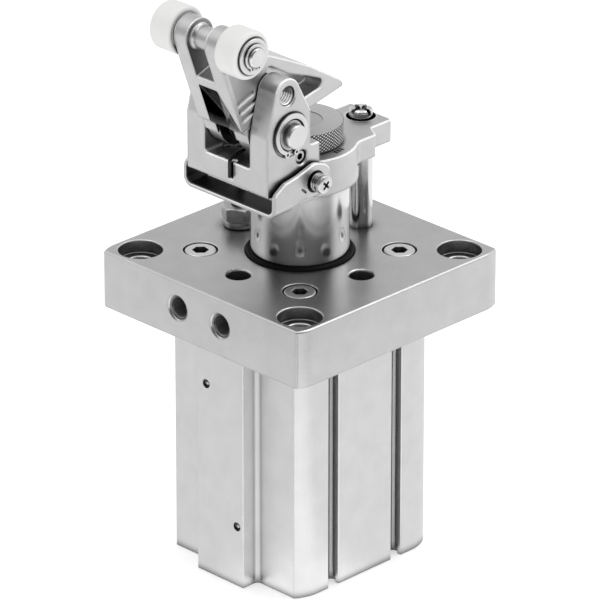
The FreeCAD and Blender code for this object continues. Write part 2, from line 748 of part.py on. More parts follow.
def make_guides_on_deck():
    rod = "guide_rod_dia / 2"
    body = turned("guide_rod", [
        ("0", "-seat_hole_deep"), (f"{rod} - pin_bevel", "-seat_hole_deep"),
        (rod, "-seat_hole_deep + pin_bevel"), (rod, "guide_rod_reach - pin_bevel"),
        (f"{rod} - pin_bevel", "guide_rod_reach"), ("0", "guide_rod_reach"),
    ], y="guide_radius", z=DECK_Z)
    half = "guide_slot_wide / 2"
    for name, x_half, y_half in (("slot_one_way", "guide_rod_dia", half),
                                 ("slot_other_way", half, "guide_rod_dia")):
        pocket(body, name, "XY_Plane", [rectangle(f"-{x_half}", f"-{y_half}", x_half, y_half)],
               "guide_slot_deep", lift="guide_rod_reach")
    spot = {"x": "-guide_radius", "z": DECK_Z}
    turned("stop_post", [
        ("post_stud_dia / 2", "-seat_hole_deep"), (f"{rod} - pin_bevel", "-seat_hole_deep"),
        (rod, "-seat_hole_deep + pin_bevel"), (rod, "0"), ("post_base_dia / 2", "0"),
        ("post_base_dia / 2", "post_base_tall"),
        ("post_stud_dia / 2", "post_base_tall"),
    ], **spot)
    nut = new_body("stop_nut", x="-guide_radius", z="flange_thick + post_base_tall")
    flats = "post_nut_flats / 2"
    point_out = "post_nut_flats / 2 / cos(30)"
    hexagon = [
        ("0", point_out), (f"-{flats}", f"{point_out} / 2"), (f"-{flats}", f"-{point_out} / 2"),
        ("0", f"-{point_out}"), (flats, f"-{point_out} / 2"), (flats, f"{point_out} / 2"),
    ]
    pad(nut, "hexagon", "XY_Plane", [hexagon, ("0", "0", "post_stud_dia")], "post_nut_tall")
    stud = "post_stud_dia / 2"
    turned("stop_stud", [
        ("0", "-seat_hole_deep"), (stud, "-seat_hole_deep"), (stud, "post_reach - stud_bevel"),
        (f"{stud} - stud_bevel", "post_reach"), ("0", "post_reach"),
    ], **spot)


def make_sealing_plugs():
    body = new_body("sealing_plugs", z="-body_tall")
    body.AllowCompound = True
    face = "body_wide / 2 + panel_proud - plug_inset"
    pad(body, "balls", "XZ_Plane", [
        ("-upper_duct_side", "upper_duct_rise", "plug_dia"),
        ("lower_duct_side", "lower_duct_rise", "plug_dia"),
    ], "plug_long", lift=face, back=True)


def make_piston():
    outer = "bore_dia / 2 - 2 * running"
    inside = "bore_dia / 2 - piston_groove_deep"
    seat = "piston_screw_head / 2 + piston_screw_room"
    seal_low = "piston_land"
    seal_high = "piston_tall - piston_land"
    turned("piston", [
        ("piston_screw_dia / 2", "piston_screw_head_tall"),
        (seat, "piston_screw_head_tall"), (seat, "0"),
        (f"{outer} - piston_bevel", "0"), (outer, "piston_bevel"), (outer, seal_low),
        (inside, seal_low), (inside, f"{seal_low} + piston_seal_tall"),
        (outer, f"{seal_low} + piston_seal_tall"),
        (outer, f"{seal_high} - magnet_tall"), (inside, f"{seal_high} - magnet_tall"), (inside, seal_high),
        (outer, seal_high), (outer, "piston_tall - piston_bevel"), (f"{outer} - piston_bevel", "piston_tall"),
        ("piston_screw_dia / 2", "piston_tall"),
    ], z=PISTON_Z)
    turned("piston_seal", collar_section(inside, "bore_dia / 2 - running", seal_low,
                                         f"{seal_low} + piston_seal_tall"), z=PISTON_Z)
    turned("piston_magnet", collar_section(inside, outer, f"{seal_high} - magnet_tall", seal_high),
           z=PISTON_Z)
    thread, head = "piston_screw_dia / 2", "piston_screw_head / 2"
    turned("piston_screw", [
        ("0", "piston_screw_socket"), ("piston_screw_dia / 3", "piston_screw_socket"),
        ("piston_screw_dia / 3", "0"), (f"{head} - piston_bevel", "0"), (head, "piston_bevel"),
        (head, "piston_screw_head_tall"), (thread, "piston_screw_head_tall"),
        (thread, "piston_tall + piston_screw_grip"), ("0", "piston_tall + piston_screw_grip"),
    ], z=PISTON_Z)


def make_rod():
    outer, spigot, hollow = "rod_dia / 2", "rod_spigot_dia / 2", "rod_bore_dia / 2"
    shoulder = f"{HEAD_Z} - {BUFFER_Z}"
    thread = "piston_screw_dia / 2"
    turned("piston_rod", [
        (thread, "0"), (f"{outer} - rod_bevel", "0"), (outer, "rod_bevel"), (outer, shoulder),
        (spigot, shoulder), (spigot, f"{shoulder} + collar_tall"), (hollow, f"{shoulder} + collar_tall"),
        (hollow, "rod_bore_floor"), ("0", "rod_bore_floor"), ("0", "piston_screw_grip + thread_spare"),
        (thread, "piston_screw_grip + thread_spare"),
    ], z=BUFFER_Z)
    wire = worth("spring_wire / 2")
    room = worth(f"{PISTON_Z} - {CAP_Z} - cap_thick") - 2 * wire - 2 * worth("side_play")
    coil = helix_solid(worth("spring_coil_dia / 2"), wire, worth(f"{CAP_Z} + cap_thick + side_play") + wire,
                       worth("spring_turns"), room / worth("spring_turns"))
    add_shape("return_spring", coil)


def make_absorber():
    outer = "rod_bore_dia / 2 - seated"
    floor = f"({BUFFER_Z} + rod_bore_floor)"
    top = f"{COLLAR_TOP} - {floor}"
    hub_top = f"{top} + knob_lift + knob_tall - side_play"
    plunger = "plunger_dia / 2 + running"
    well = f"{HEAD_Z} + plunger_reach - plunger_long - plunger_travel - well_spare - {floor}"
    turned("absorber_body", [
        ("0", "0"), (outer, "0"), (outer, top), ("knob_hub_dia / 2", top), ("knob_hub_dia / 2", hub_top),
        (plunger, hub_top), (plunger, well), ("0", well),
    ], z=floor)
    rod = "plunger_dia / 2"
    turned("absorber_plunger", [
        ("0", "-plunger_long"), (rod, "-plunger_long"), (rod, "-plunger_dome"),
        ("plunger_dia / 3", "0", "plunger_dome"), ("0", "0"),
    ], z=f"{HEAD_Z} + plunger_reach")
    ring, bore = "knob_dia / 2", "knob_hub_dia / 2 + running"
    turned("adjusting_ring", [
        (bore, "0"), (f"{ring} - knob_bevel / 2", "0"), (ring, "knob_bevel / 2"),
        (ring, "knob_tall - knob_bevel"),
        (f"{ring} - knob_bevel", "knob_tall"), (bore, "knob_tall"),
    ], z=f"{COLLAR_TOP} + knob_lift")


def make_head():
    body = new_body("stopper_head", z=HEAD_Z)
    side = [
        ("-head_front", "nose_rise", "nose_round"), ("-head_front", "cheek_knee_rise"),
        ("-cheek_apex_front", "cheek_apex_rise", "cheek_top_radius"), ("-cheek_back", "cheek_back_rise"),
        ("-cheek_back", "cheek_step_rise"), ("-cheek_step", "cheek_step_rise"), ("-cheek_step", "keel_rise"),
        ("-keel_front", "keel_rise", "keel_round"), ("-nose_back", "nose_rise"),
    ]
    pad(body, "cheeks", "YZ_Plane", [side], "head_wide", both_ways=True)
    pad(body, "collar", "XY_Plane", [("0", "0", "collar_dia")], "collar_tall")
    plan = [
        ("-arm_wide / 2", "arm_root"), ("arm_wide / 2", "arm_root"),
        ("arm_wide / 2", "arm_shoulder", "arm_corner"),
        ("arm_end_wide / 2", "arm_shoulder", "arm_corner"), ("arm_end_wide / 2", "arm_reach", "arm_corner"),
        ("-arm_end_wide / 2", "arm_reach", "arm_corner"), ("-arm_end_wide / 2", "arm_shoulder", "arm_corner"),
        ("-arm_wide / 2", "arm_shoulder", "arm_corner"),
    ]
    arm = pad(body, "rear_arm", "XY_Plane", [plan], "collar_tall - arm_rise", lift="arm_rise")
    root_x = worth("arm_wide / 2")
    root_y = math.sqrt(worth("collar_dia / 2") ** 2 - root_x ** 2)
    round_off(body, "arm_roots", arm, "arm_root_round", lambda edge: (
        upright_line(edge, root_x, root_y) or upright_line(edge, -root_x, root_y)))
    fork = rectangle("-fork_wide / 2", "floor_rise", "fork_wide / 2", "cheek_apex_rise")
    pocket(body, "fork", "XZ_Plane", [fork], "head_front * 3", both_ways=True)
    pocket(body, "ring_relief", "XY_Plane", [("0", "0", "relief_dia")], "cheek_apex_rise",
           lift="collar_tall", back=True)
    pocket(body, "rod_socket", "XY_Plane", [("0", "0", "rod_spigot_dia + 2 * seated")], "collar_tall",
           back=True)
    pocket(body, "axle_bore", "YZ_Plane", [("-axle_front", "axle_rise", "axle_dia + 2 * seated")],
           "head_wide", both_ways=True)
    pocket(body, "lug_holes", "YZ_Plane", [("-lug_hole_front", "lug_hole_rise", "lug_hole_dia")],
           "head_wide", both_ways=True)
    pocket(body, "guide_hole", "XY_Plane", [("0", "guide_radius", "guide_rod_dia + 2 * guide_room")],
           "collar_tall", back=True)
    pocket(body, "guide_seat", "XY_Plane", [("0", "guide_radius", "guide_seat_dia")], "guide_seat_deep",
           lift="collar_tall")
    for name, sign, flip in (("right", "", False), ("left", "-", True)):
        face = f"{sign}head_wide / 2"
        pocket(body, f"grub_hole_{name}", "YZ_Plane", [("-grub_front", "grub_rise", "grub_dia")],
               "grub_deep + grub_inset", lift=face, back=flip)
        pocket(body, f"bail_tap_{name}", "YZ_Plane", [("-bail_front", "bail_rise", "bail_screw_thread")],
               "bail_screw_grip", lift=face, back=flip)


def make_head_screws():
    radius = "grub_dia / 2"
    for name, sign, turn in (("right", "", ALONG_X), ("left", "-", ALONG_MINUS_X)):
        body = turned(f"grub_screw_{name}", [
            ("0", "-grub_deep"), (radius, "-grub_deep"), (radius, "0"), ("grub_dia / 4", "0"),
            ("grub_dia / 4", "-grub_deep / 3"), ("0", "-grub_deep / 3"),
        ], x=f"{sign}(head_wide / 2 - grub_inset)", y="-grub_front", z=f"{HEAD_Z} + grub_rise", turn=turn)
    thread, shoulder, head = "bail_screw_thread / 2", "bail_screw_dia / 2", "bail_screw_head / 2"
    sheet_out = "(bail_inner / 2 + bail_thick - head_wide / 2 + side_play)"
    for name, sign, turn, room in (("right", "", ALONG_X, " + bail_spring_room"),
                                   ("left", "-", ALONG_MINUS_X, "")):
        step = f"{sheet_out}{room}"
        turned(f"bail_screw_{name}", [
            ("0", "-bail_screw_grip"), (thread, "-bail_screw_grip"), (thread, "0"), (shoulder, "0"),
            (shoulder, step), (head, step), (head, f"{step} + bail_screw_head_tall - bail_screw_brow"),
            (f"{head} - bail_screw_slant", f"{step} + bail_screw_head_tall"),
            ("0", f"{step} + bail_screw_head_tall"),
        ], x=f"{sign}head_wide / 2", y="-bail_front", z=f"{HEAD_Z} + bail_rise", turn=turn)
    wire = worth("bail_wire / 2")
    low = worth("bail_inner / 2 + bail_thick + side_play") + wire
    turns = worth("bail_turns")
    pitch = (worth("bail_spring_room") - 2 * wire) / turns
    coil = helix_solid(worth("bail_coil_dia / 2"), wire, low, turns, pitch, 6)
    add_shape("bail_spring", coil, FreeCAD.Placement(
        FreeCAD.Vector(0, -worth("bail_front"), worth(f"{HEAD_Z} + bail_rise")), ALONG_X))


LEVER_PLACE = {"y": "-axle_front", "z": f"{HEAD_Z} + axle_rise"}


def make_lever():
    """The toggle lever, drawn upright in its own frame and then leant forward."""
    body = new_body("stop_lever", turn=FreeCAD.Rotation(FreeCAD.Vector(1, 0, 0), SIZES["lean"]),
                    **LEVER_PLACE)
    body.setExpression("Placement.Rotation.Angle", tied("lean"))
    pad(body, "feet", "YZ_Plane", [("0", "0", "foot_dia")], "lever_wide", both_ways=True)
    pad(body, "arm_ends", "YZ_Plane", [("-roller_axle_front", "roller_axle_rise", "lever_head_dia")],
        "lever_wide", both_ways=True)
    arm_front = "-roller_axle_front - lever_head_dia / 2"
    arm_back = "-roller_axle_front + lever_head_dia / 2"
    arm = [
        (arm_front, "chin_rise"), (arm_front, "roller_axle_rise"),
        (arm_back, "roller_axle_rise"), (arm_back, "tail_root_rise", "tail_root_round"),
        ("tail_top_back", "tail_top_rise", "tail_top_round"),
        ("tail_mid_back", "tail_mid_rise", "tail_mid_round"),
        ("tail_long - tail_tip_slant", "-tail_tip_top", "tail_tip_round"),
        ("tail_long", "-tail_tip_drop", "tail_edge_round"),
        ("foot_dia / 2 - tail_root_inset", "-tail_root_drop"), ("0", "0"),
        ("-foot_dia / 2 + neck_inset", "chin_rise"),
    ]
    shaft = pad(body, "arm_and_tail", "YZ_Plane", [arm], "lever_wide", both_ways=True)
    half_wide, front = worth("lever_wide / 2"), worth(arm_front)
    round_off(body, "front_edges", shaft, "lever_edge_round", lambda edge: (
        along_arm(edge, half_wide, front) or along_arm(edge, -half_wide, front)))
    facet = [
        (arm_front, "chin_rise + facet_lap"), (arm_front, "chin_rise"), ("-facet_front", "facet_drop"),
        ("-facet_front", "facet_foot"), ("-foot_dia / 2 + overlap", "facet_foot"),
        ("-foot_dia / 2 + neck_inset", "chin_rise + facet_lap"),
    ]
    foot_wide = "(lever_wide - window_wide) / 2"
    pad(body, "right_facet", "YZ_Plane", [facet], foot_wide, lift="window_wide / 2")
    pad(body, "left_facet", "YZ_Plane", [facet], foot_wide, lift="-lever_wide / 2")
    recess = [
        ("recess_front", "window_top", "recess_round"), ("recess_top_back", "window_top", "recess_round"),
        ("recess_tip_back", "recess_tip_rise", "recess_tip_round"),
        ("recess_low_back", "-recess_low_drop", "recess_tip_round"),
        ("recess_knee_back", "recess_knee_rise", "recess_round"),
        ("recess_heel_back", "recess_heel_rise", "recess_round"),
        ("recess_front", "recess_front_rise", "recess_round"),
    ]
    deep = "(lever_wide - tail_web) / 2"
    pocket(body, "tail_pocket_right", "YZ_Plane", [recess], deep, lift="lever_wide / 2")
    pocket(body, "tail_pocket_left", "YZ_Plane", [recess], deep, lift="-lever_wide / 2", back=True)
    half = "window_wide / 2"
    lower = rectangle(f"-{half}", "-foot_dia", half, "window_top")
    pocket(body, "lower_window", "XZ_Plane", [lower], "foot_dia", back=True)
    pocket(body, "coil_room", "YZ_Plane", [("0", "0", "coil_room_dia")], "window_wide", both_ways=True)
    upper = rectangle(f"-{half}", "window_top + bar_tall", half, "foot_dia * 3")
    pocket(body, "upper_window", "XZ_Plane", [upper], "foot_dia * 2", both_ways=True)
    pad(body, "roller_boss", "YZ_Plane", [("-roller_axle_front", "roller_axle_rise", "boss_dia")],
        "boss_long", lift=half, back=True)
    pocket(body, "axle_bore", "YZ_Plane", [("0", "0", "axle_dia + 2 * running")], "lever_wide",
           both_ways=True)
    eye_bore = ("-roller_axle_front", "roller_axle_rise", "roller_axle_dia + 2 * seated")
    pocket(body, "roller_bore", "YZ_Plane", [eye_bore], "lever_wide", both_ways=True)


def roller_spot():
    """Where the roller axle lies in the part's frame, as expressions."""
    y = "-axle_front - roller_axle_front * cos(lean) - roller_axle_rise * sin(lean)"
    z = f"{HEAD_Z} + axle_rise - roller_axle_front * sin(lean) + roller_axle_rise * cos(lean)"
    return {"y": y, "z": z}


def make_axles():
    end, big = "axle_end_dia / 2", "axle_dia / 2"
    step = "head_wide / 2 + axle_clip_thick + side_play"
    neck = f"{big} - clip_groove_deep"
    turned("lever_axle", [
        ("0", "-axle_end_reach"), (f"{end} - pin_bevel", "-axle_end_reach"),
        (end, "-axle_end_reach + pin_bevel"), (end, f"-({step})"), (neck, f"-({step})"),
        (neck, "-head_wide / 2"), (big, "-head_wide / 2"),
        (big, "head_wide / 2"), (neck, "head_wide / 2"), (neck, step), (end, step),
        (end, "axle_end_reach - pin_bevel"), (f"{end} - pin_bevel", "axle_end_reach"),
        ("0", "axle_end_reach"),
    ], turn=ALONG_X, **LEVER_PLACE)
    inner = "lever_wide / 2 + roller_gap"
    outer = f"{inner} + roller_wide"
    washer = f"{outer} + side_play"
    clip = f"{washer} + washer_thick"
    pin, long = "roller_axle_dia / 2", f"({clip} + circlip_thick + roller_axle_end)"
    turned("roller_axle", [
        ("0", f"-{long}"), (f"{pin} - pin_bevel", f"-{long}"), (pin, f"-{long} + pin_bevel"),
        (pin, f"{long} - pin_bevel"), (f"{pin} - pin_bevel", long), ("0", long),
    ], turn=ALONG_X, **roller_spot())
    for name, turn in (("right", ALONG_X), ("left", ALONG_MINUS_X)):
        turned(f"axle_clip_{name}", collar_section(
            neck, "axle_clip_dia / 2", "head_wide / 2 + side_play / 2",
            "head_wide / 2 + side_play / 2 + axle_clip_thick"), turn=turn, **LEVER_PLACE)
        turned(f"roller_{name}", [
            ("roller_axle_dia / 2 + running", inner), ("roller_dia / 2", inner, "roller_round"),
            ("roller_dia / 2", outer, "roller_round"), ("roller_axle_dia / 2 + running", outer),
        ], turn=turn, **roller_spot())
        turned(f"roller_washer_{name}", collar_section(
            "roller_axle_dia / 2", "washer_dia / 2", washer, f"{washer} + washer_thick"), turn=turn,
            **roller_spot())
        turned(f"roller_clip_{name}", collar_section(
            "roller_axle_dia / 2", "clip_dia / 2", clip, f"{clip} + circlip_thick"), turn=turn,
            **roller_spot())


def wire_ring(spot, ahead, radius, sides):
    """The outline of a wire's section at one spot, square to the way ahead."""
    across = ahead.cross(FreeCAD.Vector(1, 0, 0)).normalize()
    along = ahead.cross(across).normalize()
    corners = []
    for i in range(sides):
        turn = 2 * math.pi * i / sides
        corners.append(spot + across * (radius * math.cos(turn)) + along * (radius * math.sin(turn)))
    return Part.makePolygon(corners + [corners[0]])


def bent_wire(path, radius, sides=8):
    """A solid wire that runs through a list of spots."""
    rings = []
    for i, spot in enumerate(path):
        before = spot - path[i - 1] if i else path[1] - spot
        after = path[i + 1] - spot if i + 1 < len(path) else before
        ahead = FreeCAD.Vector(before).normalize() + FreeCAD.Vector(after).normalize()
        rings.append(wire_ring(spot, ahead, radius, sides))
    return Part.makeLoft(rings, True, True)


def make_lever_spring():
    """Coils round the lever axle, inside the hub, with one leg over the fork's floor."""
    coil = worth("lever_coil_dia / 2")
    span = worth("window_wide / 2 - lever_wire / 2 - side_play")
    turns = worth("lever_turns")
    bend = point("leg_side", "axle_front - leg_front", "leg_bend_rise - axle_rise")
    leave = math.atan2(bend.z, bend.y) + math.acos(coil / math.hypot(bend.y, bend.z))
    path = [bend - point("0", "0", "leg_drop"), bend]
    steps = round(turns * 14)
    for i in range(steps + 1):
        turn = leave + 2 * math.pi * turns * i / steps
        path.append(FreeCAD.Vector(span - 2 * span * i / steps, coil * math.cos(turn), coil * math.sin(turn)))
    place = FreeCAD.Placement(point("0", LEVER_PLACE["y"], LEVER_PLACE["z"]), UPRIGHT)
    add_shape("lever_spring", bent_wire(path, worth("lever_wire / 2")), place)


def make_bail():
    """A U of bent sheet: its section is bent first, and its side outline trims it."""
    inner, thick, bend = worth("bail_inner / 2"), worth("bail_thick"), worth("bail_bend")
    pivot = point("0", "-bail_front", f"{HEAD_Z} + bail_rise")
    low = pivot.z - worth("bail_web_drop")
    high = pivot.z + worth("bail_crown_rise") + thick
    long = worth("bail_front + bail_nose_front + bail_heel_back")
    pieces = []
    for grow in (thick, 0):
        half, foot, radius = inner + grow, low - grow, bend + grow
        box = Part.makeBox(2 * half, 2 * long, high - foot, FreeCAD.Vector(-half, -2 * long, foot))
        corners = [edge for edge in box.Edges if abs(edge.BoundBox.YLength - 2 * long) < 1e-6
                   and abs(edge.BoundBox.ZMin - foot) < 1e-6]
        pieces.append(box.makeFillet(radius, corners))
    channel = pieces[0].cut(pieces[1])
    side = [
        ("-bail_web_back", "-bail_web_drop"), ("-bail_shin_front", "-bail_shin_drop"),
        ("0", "-bail_sole_drop"),
        ("bail_heel_back", "-bail_heel_drop"), ("bail_back_back", "bail_back_rise"), ("0", "bail_crown_rise"),
        ("-bail_brow_front", "bail_brow_rise"), ("-bail_cheek_front", "bail_cheek_rise"),
        ("-bail_nose_front", "-bail_nose_drop"), ("-bail_nose_front", "-bail_web_drop - bail_thick"),
        ("-bail_web_back", "-bail_web_drop - bail_thick"),
    ]
    spots = [pivot + point("-bail_inner", y, z) for y, z in side]
    face = Part.Face(Part.makePolygon(spots + [spots[0]]))
    blank = face.extrude(point("2 * bail_inner", "0", "0"))
    rounded = [edge for edge in blank.Edges if edge.BoundBox.XLength > thick
               and edge.BoundBox.ZMin > pivot.z - worth("bail_shin_drop + bail_thick")]
    bail = channel.common(blank.makeFillet(worth("bail_round"), rounded))
    eye_hole = Part.makeCylinder(worth("bail_screw_dia / 2 + running"), worth("2 * bail_inner"),
                                 pivot - point("bail_inner", "0", "0"), FreeCAD.Vector(1, 0, 0))
    add_shape("release_bail", bail.cut(eye_hole))


def check_and_export():
    doc.recompute()
    skip = {"App::Origin", "App::Line", "App::Plane", "App::Point", "Spreadsheet::Sheet"}
    problems = []
    for item in doc.Objects:
        if {"Invalid", "Error"} & set(item.State):
            problems.append(f"{item.Name}: {item.State}")
    os.makedirs("parts", exist_ok=True)
    pieces = [item for item in doc.Objects if item.TypeId in ("PartDesign::Body", "Part::Feature")]
    for piece in pieces:
        shape = piece.Shape
        if shape.isNull() or not shape.isValid() or not shape.Solids:
            problems.append(f"{piece.Label}: bad shape")
    if problems:
        raise RuntimeError("; ".join(problems))
    for piece in pieces:
        piece.Shape.exportStep(f"parts/{piece.Label}.step")
        print(piece.Label, len(piece.Shape.Solids), round(piece.Shape.Volume, 1))


make_cylinder_body()
make_flange()
make_joining_screws()
make_closed_end()
make_rod_guides()
make_guides_on_deck()
make_sealing_plugs()
make_piston()
make_rod()
make_absorber()
make_head()
make_head_screws()
make_lever()
make_axles()
make_lever_spring()
make_bail()
check_and_export()
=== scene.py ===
from contextlib import contextmanager
import json
import math

import bmesh
import bpy
from mathutils import Matrix, Vector

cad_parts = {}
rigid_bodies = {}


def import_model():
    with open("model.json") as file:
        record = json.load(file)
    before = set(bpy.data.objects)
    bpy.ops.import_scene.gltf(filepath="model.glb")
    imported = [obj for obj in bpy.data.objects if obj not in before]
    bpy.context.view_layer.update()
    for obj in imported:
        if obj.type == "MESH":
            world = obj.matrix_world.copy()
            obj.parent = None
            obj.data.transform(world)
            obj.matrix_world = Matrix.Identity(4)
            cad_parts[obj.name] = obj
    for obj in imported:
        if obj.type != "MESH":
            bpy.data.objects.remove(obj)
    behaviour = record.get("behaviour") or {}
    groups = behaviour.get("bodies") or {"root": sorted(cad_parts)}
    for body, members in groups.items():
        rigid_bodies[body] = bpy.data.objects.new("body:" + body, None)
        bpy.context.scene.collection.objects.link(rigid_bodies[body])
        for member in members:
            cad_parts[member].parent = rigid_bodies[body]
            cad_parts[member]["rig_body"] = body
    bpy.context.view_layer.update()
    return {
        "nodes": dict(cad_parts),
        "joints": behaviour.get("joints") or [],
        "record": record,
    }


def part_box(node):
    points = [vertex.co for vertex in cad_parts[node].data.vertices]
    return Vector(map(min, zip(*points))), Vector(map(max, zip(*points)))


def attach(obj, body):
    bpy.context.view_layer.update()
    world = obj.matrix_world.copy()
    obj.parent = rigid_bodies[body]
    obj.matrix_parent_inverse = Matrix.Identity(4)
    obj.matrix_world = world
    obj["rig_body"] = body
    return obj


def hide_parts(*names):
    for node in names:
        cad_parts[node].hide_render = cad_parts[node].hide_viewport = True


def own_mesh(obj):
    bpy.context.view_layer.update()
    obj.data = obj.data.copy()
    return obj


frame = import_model()


MM = 0.001
JOINT = {joint["name"]: joint for joint in frame["joints"]}
SLOT_OF = {entry["node"]: entry["material_slot"] for entry in frame["record"]["subparts"]}
BODY_OF = {node: held["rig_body"] for node, held in frame["nodes"].items()}

scene = bpy.context.scene
scene.view_settings.view_transform = "Standard"


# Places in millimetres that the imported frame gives


def in_mm(node):
    """The low and the high corner of a node's box."""
    low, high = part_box(node)
    return low / MM, high / MM


def levels(node):
    """The lowest and the highest level of a node."""
    return [corner.z for corner in in_mm(node)]


def outward(node):
    """How near the middle plane a node begins, and how far from it the node ends."""
    return sorted(abs(corner.x) for corner in in_mm(node))


def axis_of(joint):
    """Where the sideways axis of a joint crosses the middle plane."""
    return Vector((0, *JOINT[joint]["pos_m"][1:])) / MM


DECK = levels("mounting_flange")[1]
PLATE_HALF = in_mm("mounting_flange")[1].x
BODY_LOW = levels("cylinder_body")[0]
BODY_HALF = in_mm("cylinder_body")[1].x
PANEL_FRONT = in_mm("cylinder_body")[0].y
BORE_RADIUS = in_mm("piston_seal")[1].x
COLLAR_LOW = levels("stopper_head")[0]
AXLE, ROLLER_AXLE, PIVOT = map(axis_of, ("lever_tilt", "roller_right_spin", "bail_tilt"))
LEAN = math.radians(-JOINT["lever_tilt"]["range_deg"][0])

# Sizes in millimetres that a shape shares with its neighbour or with its paint
HEAD_HALF = 22.6
COLLAR_TALL = 15.5
GUIDE_PLACE = 34.5
SCREW_PLACE = 28.2
CORNER_BOLT_PLACE = 45.2
PORT_X, PORT_Z, PORT_CORE, PORT_CREST = 12.0, DECK - 11.5, 4.28, 4.86
PLUG_SPOTS = ((-7.6, DECK - 47.0), (9.6, DECK - 105.0))
FLOOR_HOLES = ((-10.0, -30.1), (-6.9, -27.0))
KNURL_TEETH, KNURL_RISE = 62, 1.4
LEVER_GAP = 5.0
BAIL_INNER, BAIL_BEND, BAIL_LOW = 23.9, 2.4, PIVOT.z - 8.3

CORNERS = [(sx, sy) for sx in (-1, 1) for sy in (-1, 1)]
SIDES = (("right", "x", 1), ("left", "-x", -1))


class Value:
    """A shader socket whose Python operators add Math nodes."""

    def __init__(self, nodes, socket):
        self.nodes = nodes
        self.socket = socket

    def maths(self, operation, *others):
        return self.nodes.maths(operation, self, *others)

    def __add__(self, other):
        return self.maths("ADD", other)

    __radd__ = __add__

    def __mul__(self, other):
        return self.maths("MULTIPLY", other)

    __rmul__ = __mul__

    def __sub__(self, other):
        return self.maths("SUBTRACT", other)

    def __rsub__(self, other):
        return self.nodes.maths("SUBTRACT", other, self)

    def __truediv__(self, other):
        return self.maths("DIVIDE", other)

    def __rtruediv__(self, other):
        return self.nodes.maths("DIVIDE", other, self)

    def __abs__(self):
        return self.maths("ABSOLUTE")

    def __pow__(self, other):
        return self.maths("POWER", other)

    def most(self, other):
        return self.maths("MAXIMUM", other)

    def ramp(self, low, high, out_low=0.0, out_high=1.0):
        """Map low to high onto the output range, smoothly and held at both ends."""
        limits = {0: self, 1: low, 2: high, 3: out_low, 4: out_high}
        return self.nodes.node("MapRange", {"interpolation_type": "SMOOTHSTEP"}, limits)

    def fall(self, low, high):
        """1 up to low and 0 from high on, with a smooth step between."""
        return self.ramp(low, high, 1.0, 0.0)

    def band(self, low, high, soft):
        """1 from low to high, and 0 beyond, over soft steps."""
        return self.ramp(low - soft, low) * self.fall(high, high + soft)


def span(one, other):
    """The distance that two legs at right angles reach."""
    return (one * one + other * other) ** 0.5


class Nodes:
    """A node tree under construction."""

    def __init__(self, tree):
        self.tree = tree

    def node(self, kind, settings=None, sockets=None, output=0):
        made = self.tree.nodes.new("ShaderNode" + kind)
        for key, setting in (settings or {}).items():
            setattr(made, key, setting)
        for place, item in (sockets or {}).items():
            self.feed(made.inputs[place], item)
        return None if output is None else Value(self, made.outputs[output])

    def feed(self, socket, item):
        if isinstance(item, Value):
            self.tree.links.new(item.socket, socket)
        else:
            socket.default_value = item

    def maths(self, operation, *items):
        return self.node("Math", {"operation": operation}, dict(enumerate(items)))

    def found(self, kind):
        return next(node for node in self.tree.nodes if node.bl_idname == "ShaderNode" + kind)

    def mix(self, share, one, other):
        """A colour between two, by a share held between 0 and 1."""
        return self.node("Mix", {"data_type": "RGBA"}, {0: share, 6: one, 7: other}, 2)

    def part_of(self, vector, name):
        return self.node("SeparateXYZ", None, {0: vector}, name)


class Paint(Nodes):
    """A material under construction."""

    def __init__(self, name):
        self.material = bpy.data.materials.new(name)
        self.material.use_nodes = True
        super().__init__(self.material.node_tree)
        self.shader = self.found("BsdfPrincipled")
        self.spot = self.node("TexCoord", output="Object")

    def set(self, **sockets):
        for name, item in sockets.items():
            self.feed(self.shader.inputs[name.replace("_", " ")], item)

    def place(self):
        """Across, along and height of the shaded spot in the part's frame, in millimetres."""
        return (self.part_of(self.spot, axis) / MM for axis in "XYZ")

    def noise(self, size_mm, detail=3.0, stretch=(1, 1, 1)):
        """Noise whose cells are about size_mm across."""
        shape = self.node("VectorMath", {"operation": "MULTIPLY"}, {0: self.spot, 1: stretch})
        sockets = {"Vector": shape, "Scale": 1 / (size_mm * MM), "Detail": detail}
        return self.node("TexNoise", None, sockets)

    def rounding(self, edge_mm):
        """The normal of a surface whose edges are rounded by edge_mm."""
        return self.node("Bevel", {"samples": 6}, {"Radius": edge_mm * MM})

    def straight(self):
        return self.node("NewGeometry", output="Normal")

    def normal(self, height, depth_mm, rounding=None):
        """A bump of some depth, on the surface or on its rounding."""
        sockets = {"Height": height, "Strength": 1.0, "Distance": depth_mm * MM}
        if rounding:
            sockets["Normal"] = rounding
        self.set(Normal=self.node("Bump", None, sockets))

    def edge(self, rounding, sharp=0.86, flat=0.995):
        """1 on the brow of an edge, 0 on the faces beside it."""
        sockets = {0: rounding, 1: self.straight()}
        alike = self.node("VectorMath", {"operation": "DOT_PRODUCT"}, sockets, "Value")
        return alike.fall(sharp, flat)

    def crevice(self, reach_mm, open_share=0.95, shut_share=0.35):
        """The share of ambient light, for painted shade: 0 deep inside gaps and holes narrower than about
        reach_mm, 1 out in the open.
        """
        share = self.node("AmbientOcclusion", {"samples": 8}, {"Distance": reach_mm * MM}, "AO")
        return share.ramp(shut_share, open_share)


def grey(level):
    return (level, level, level, 1.0)


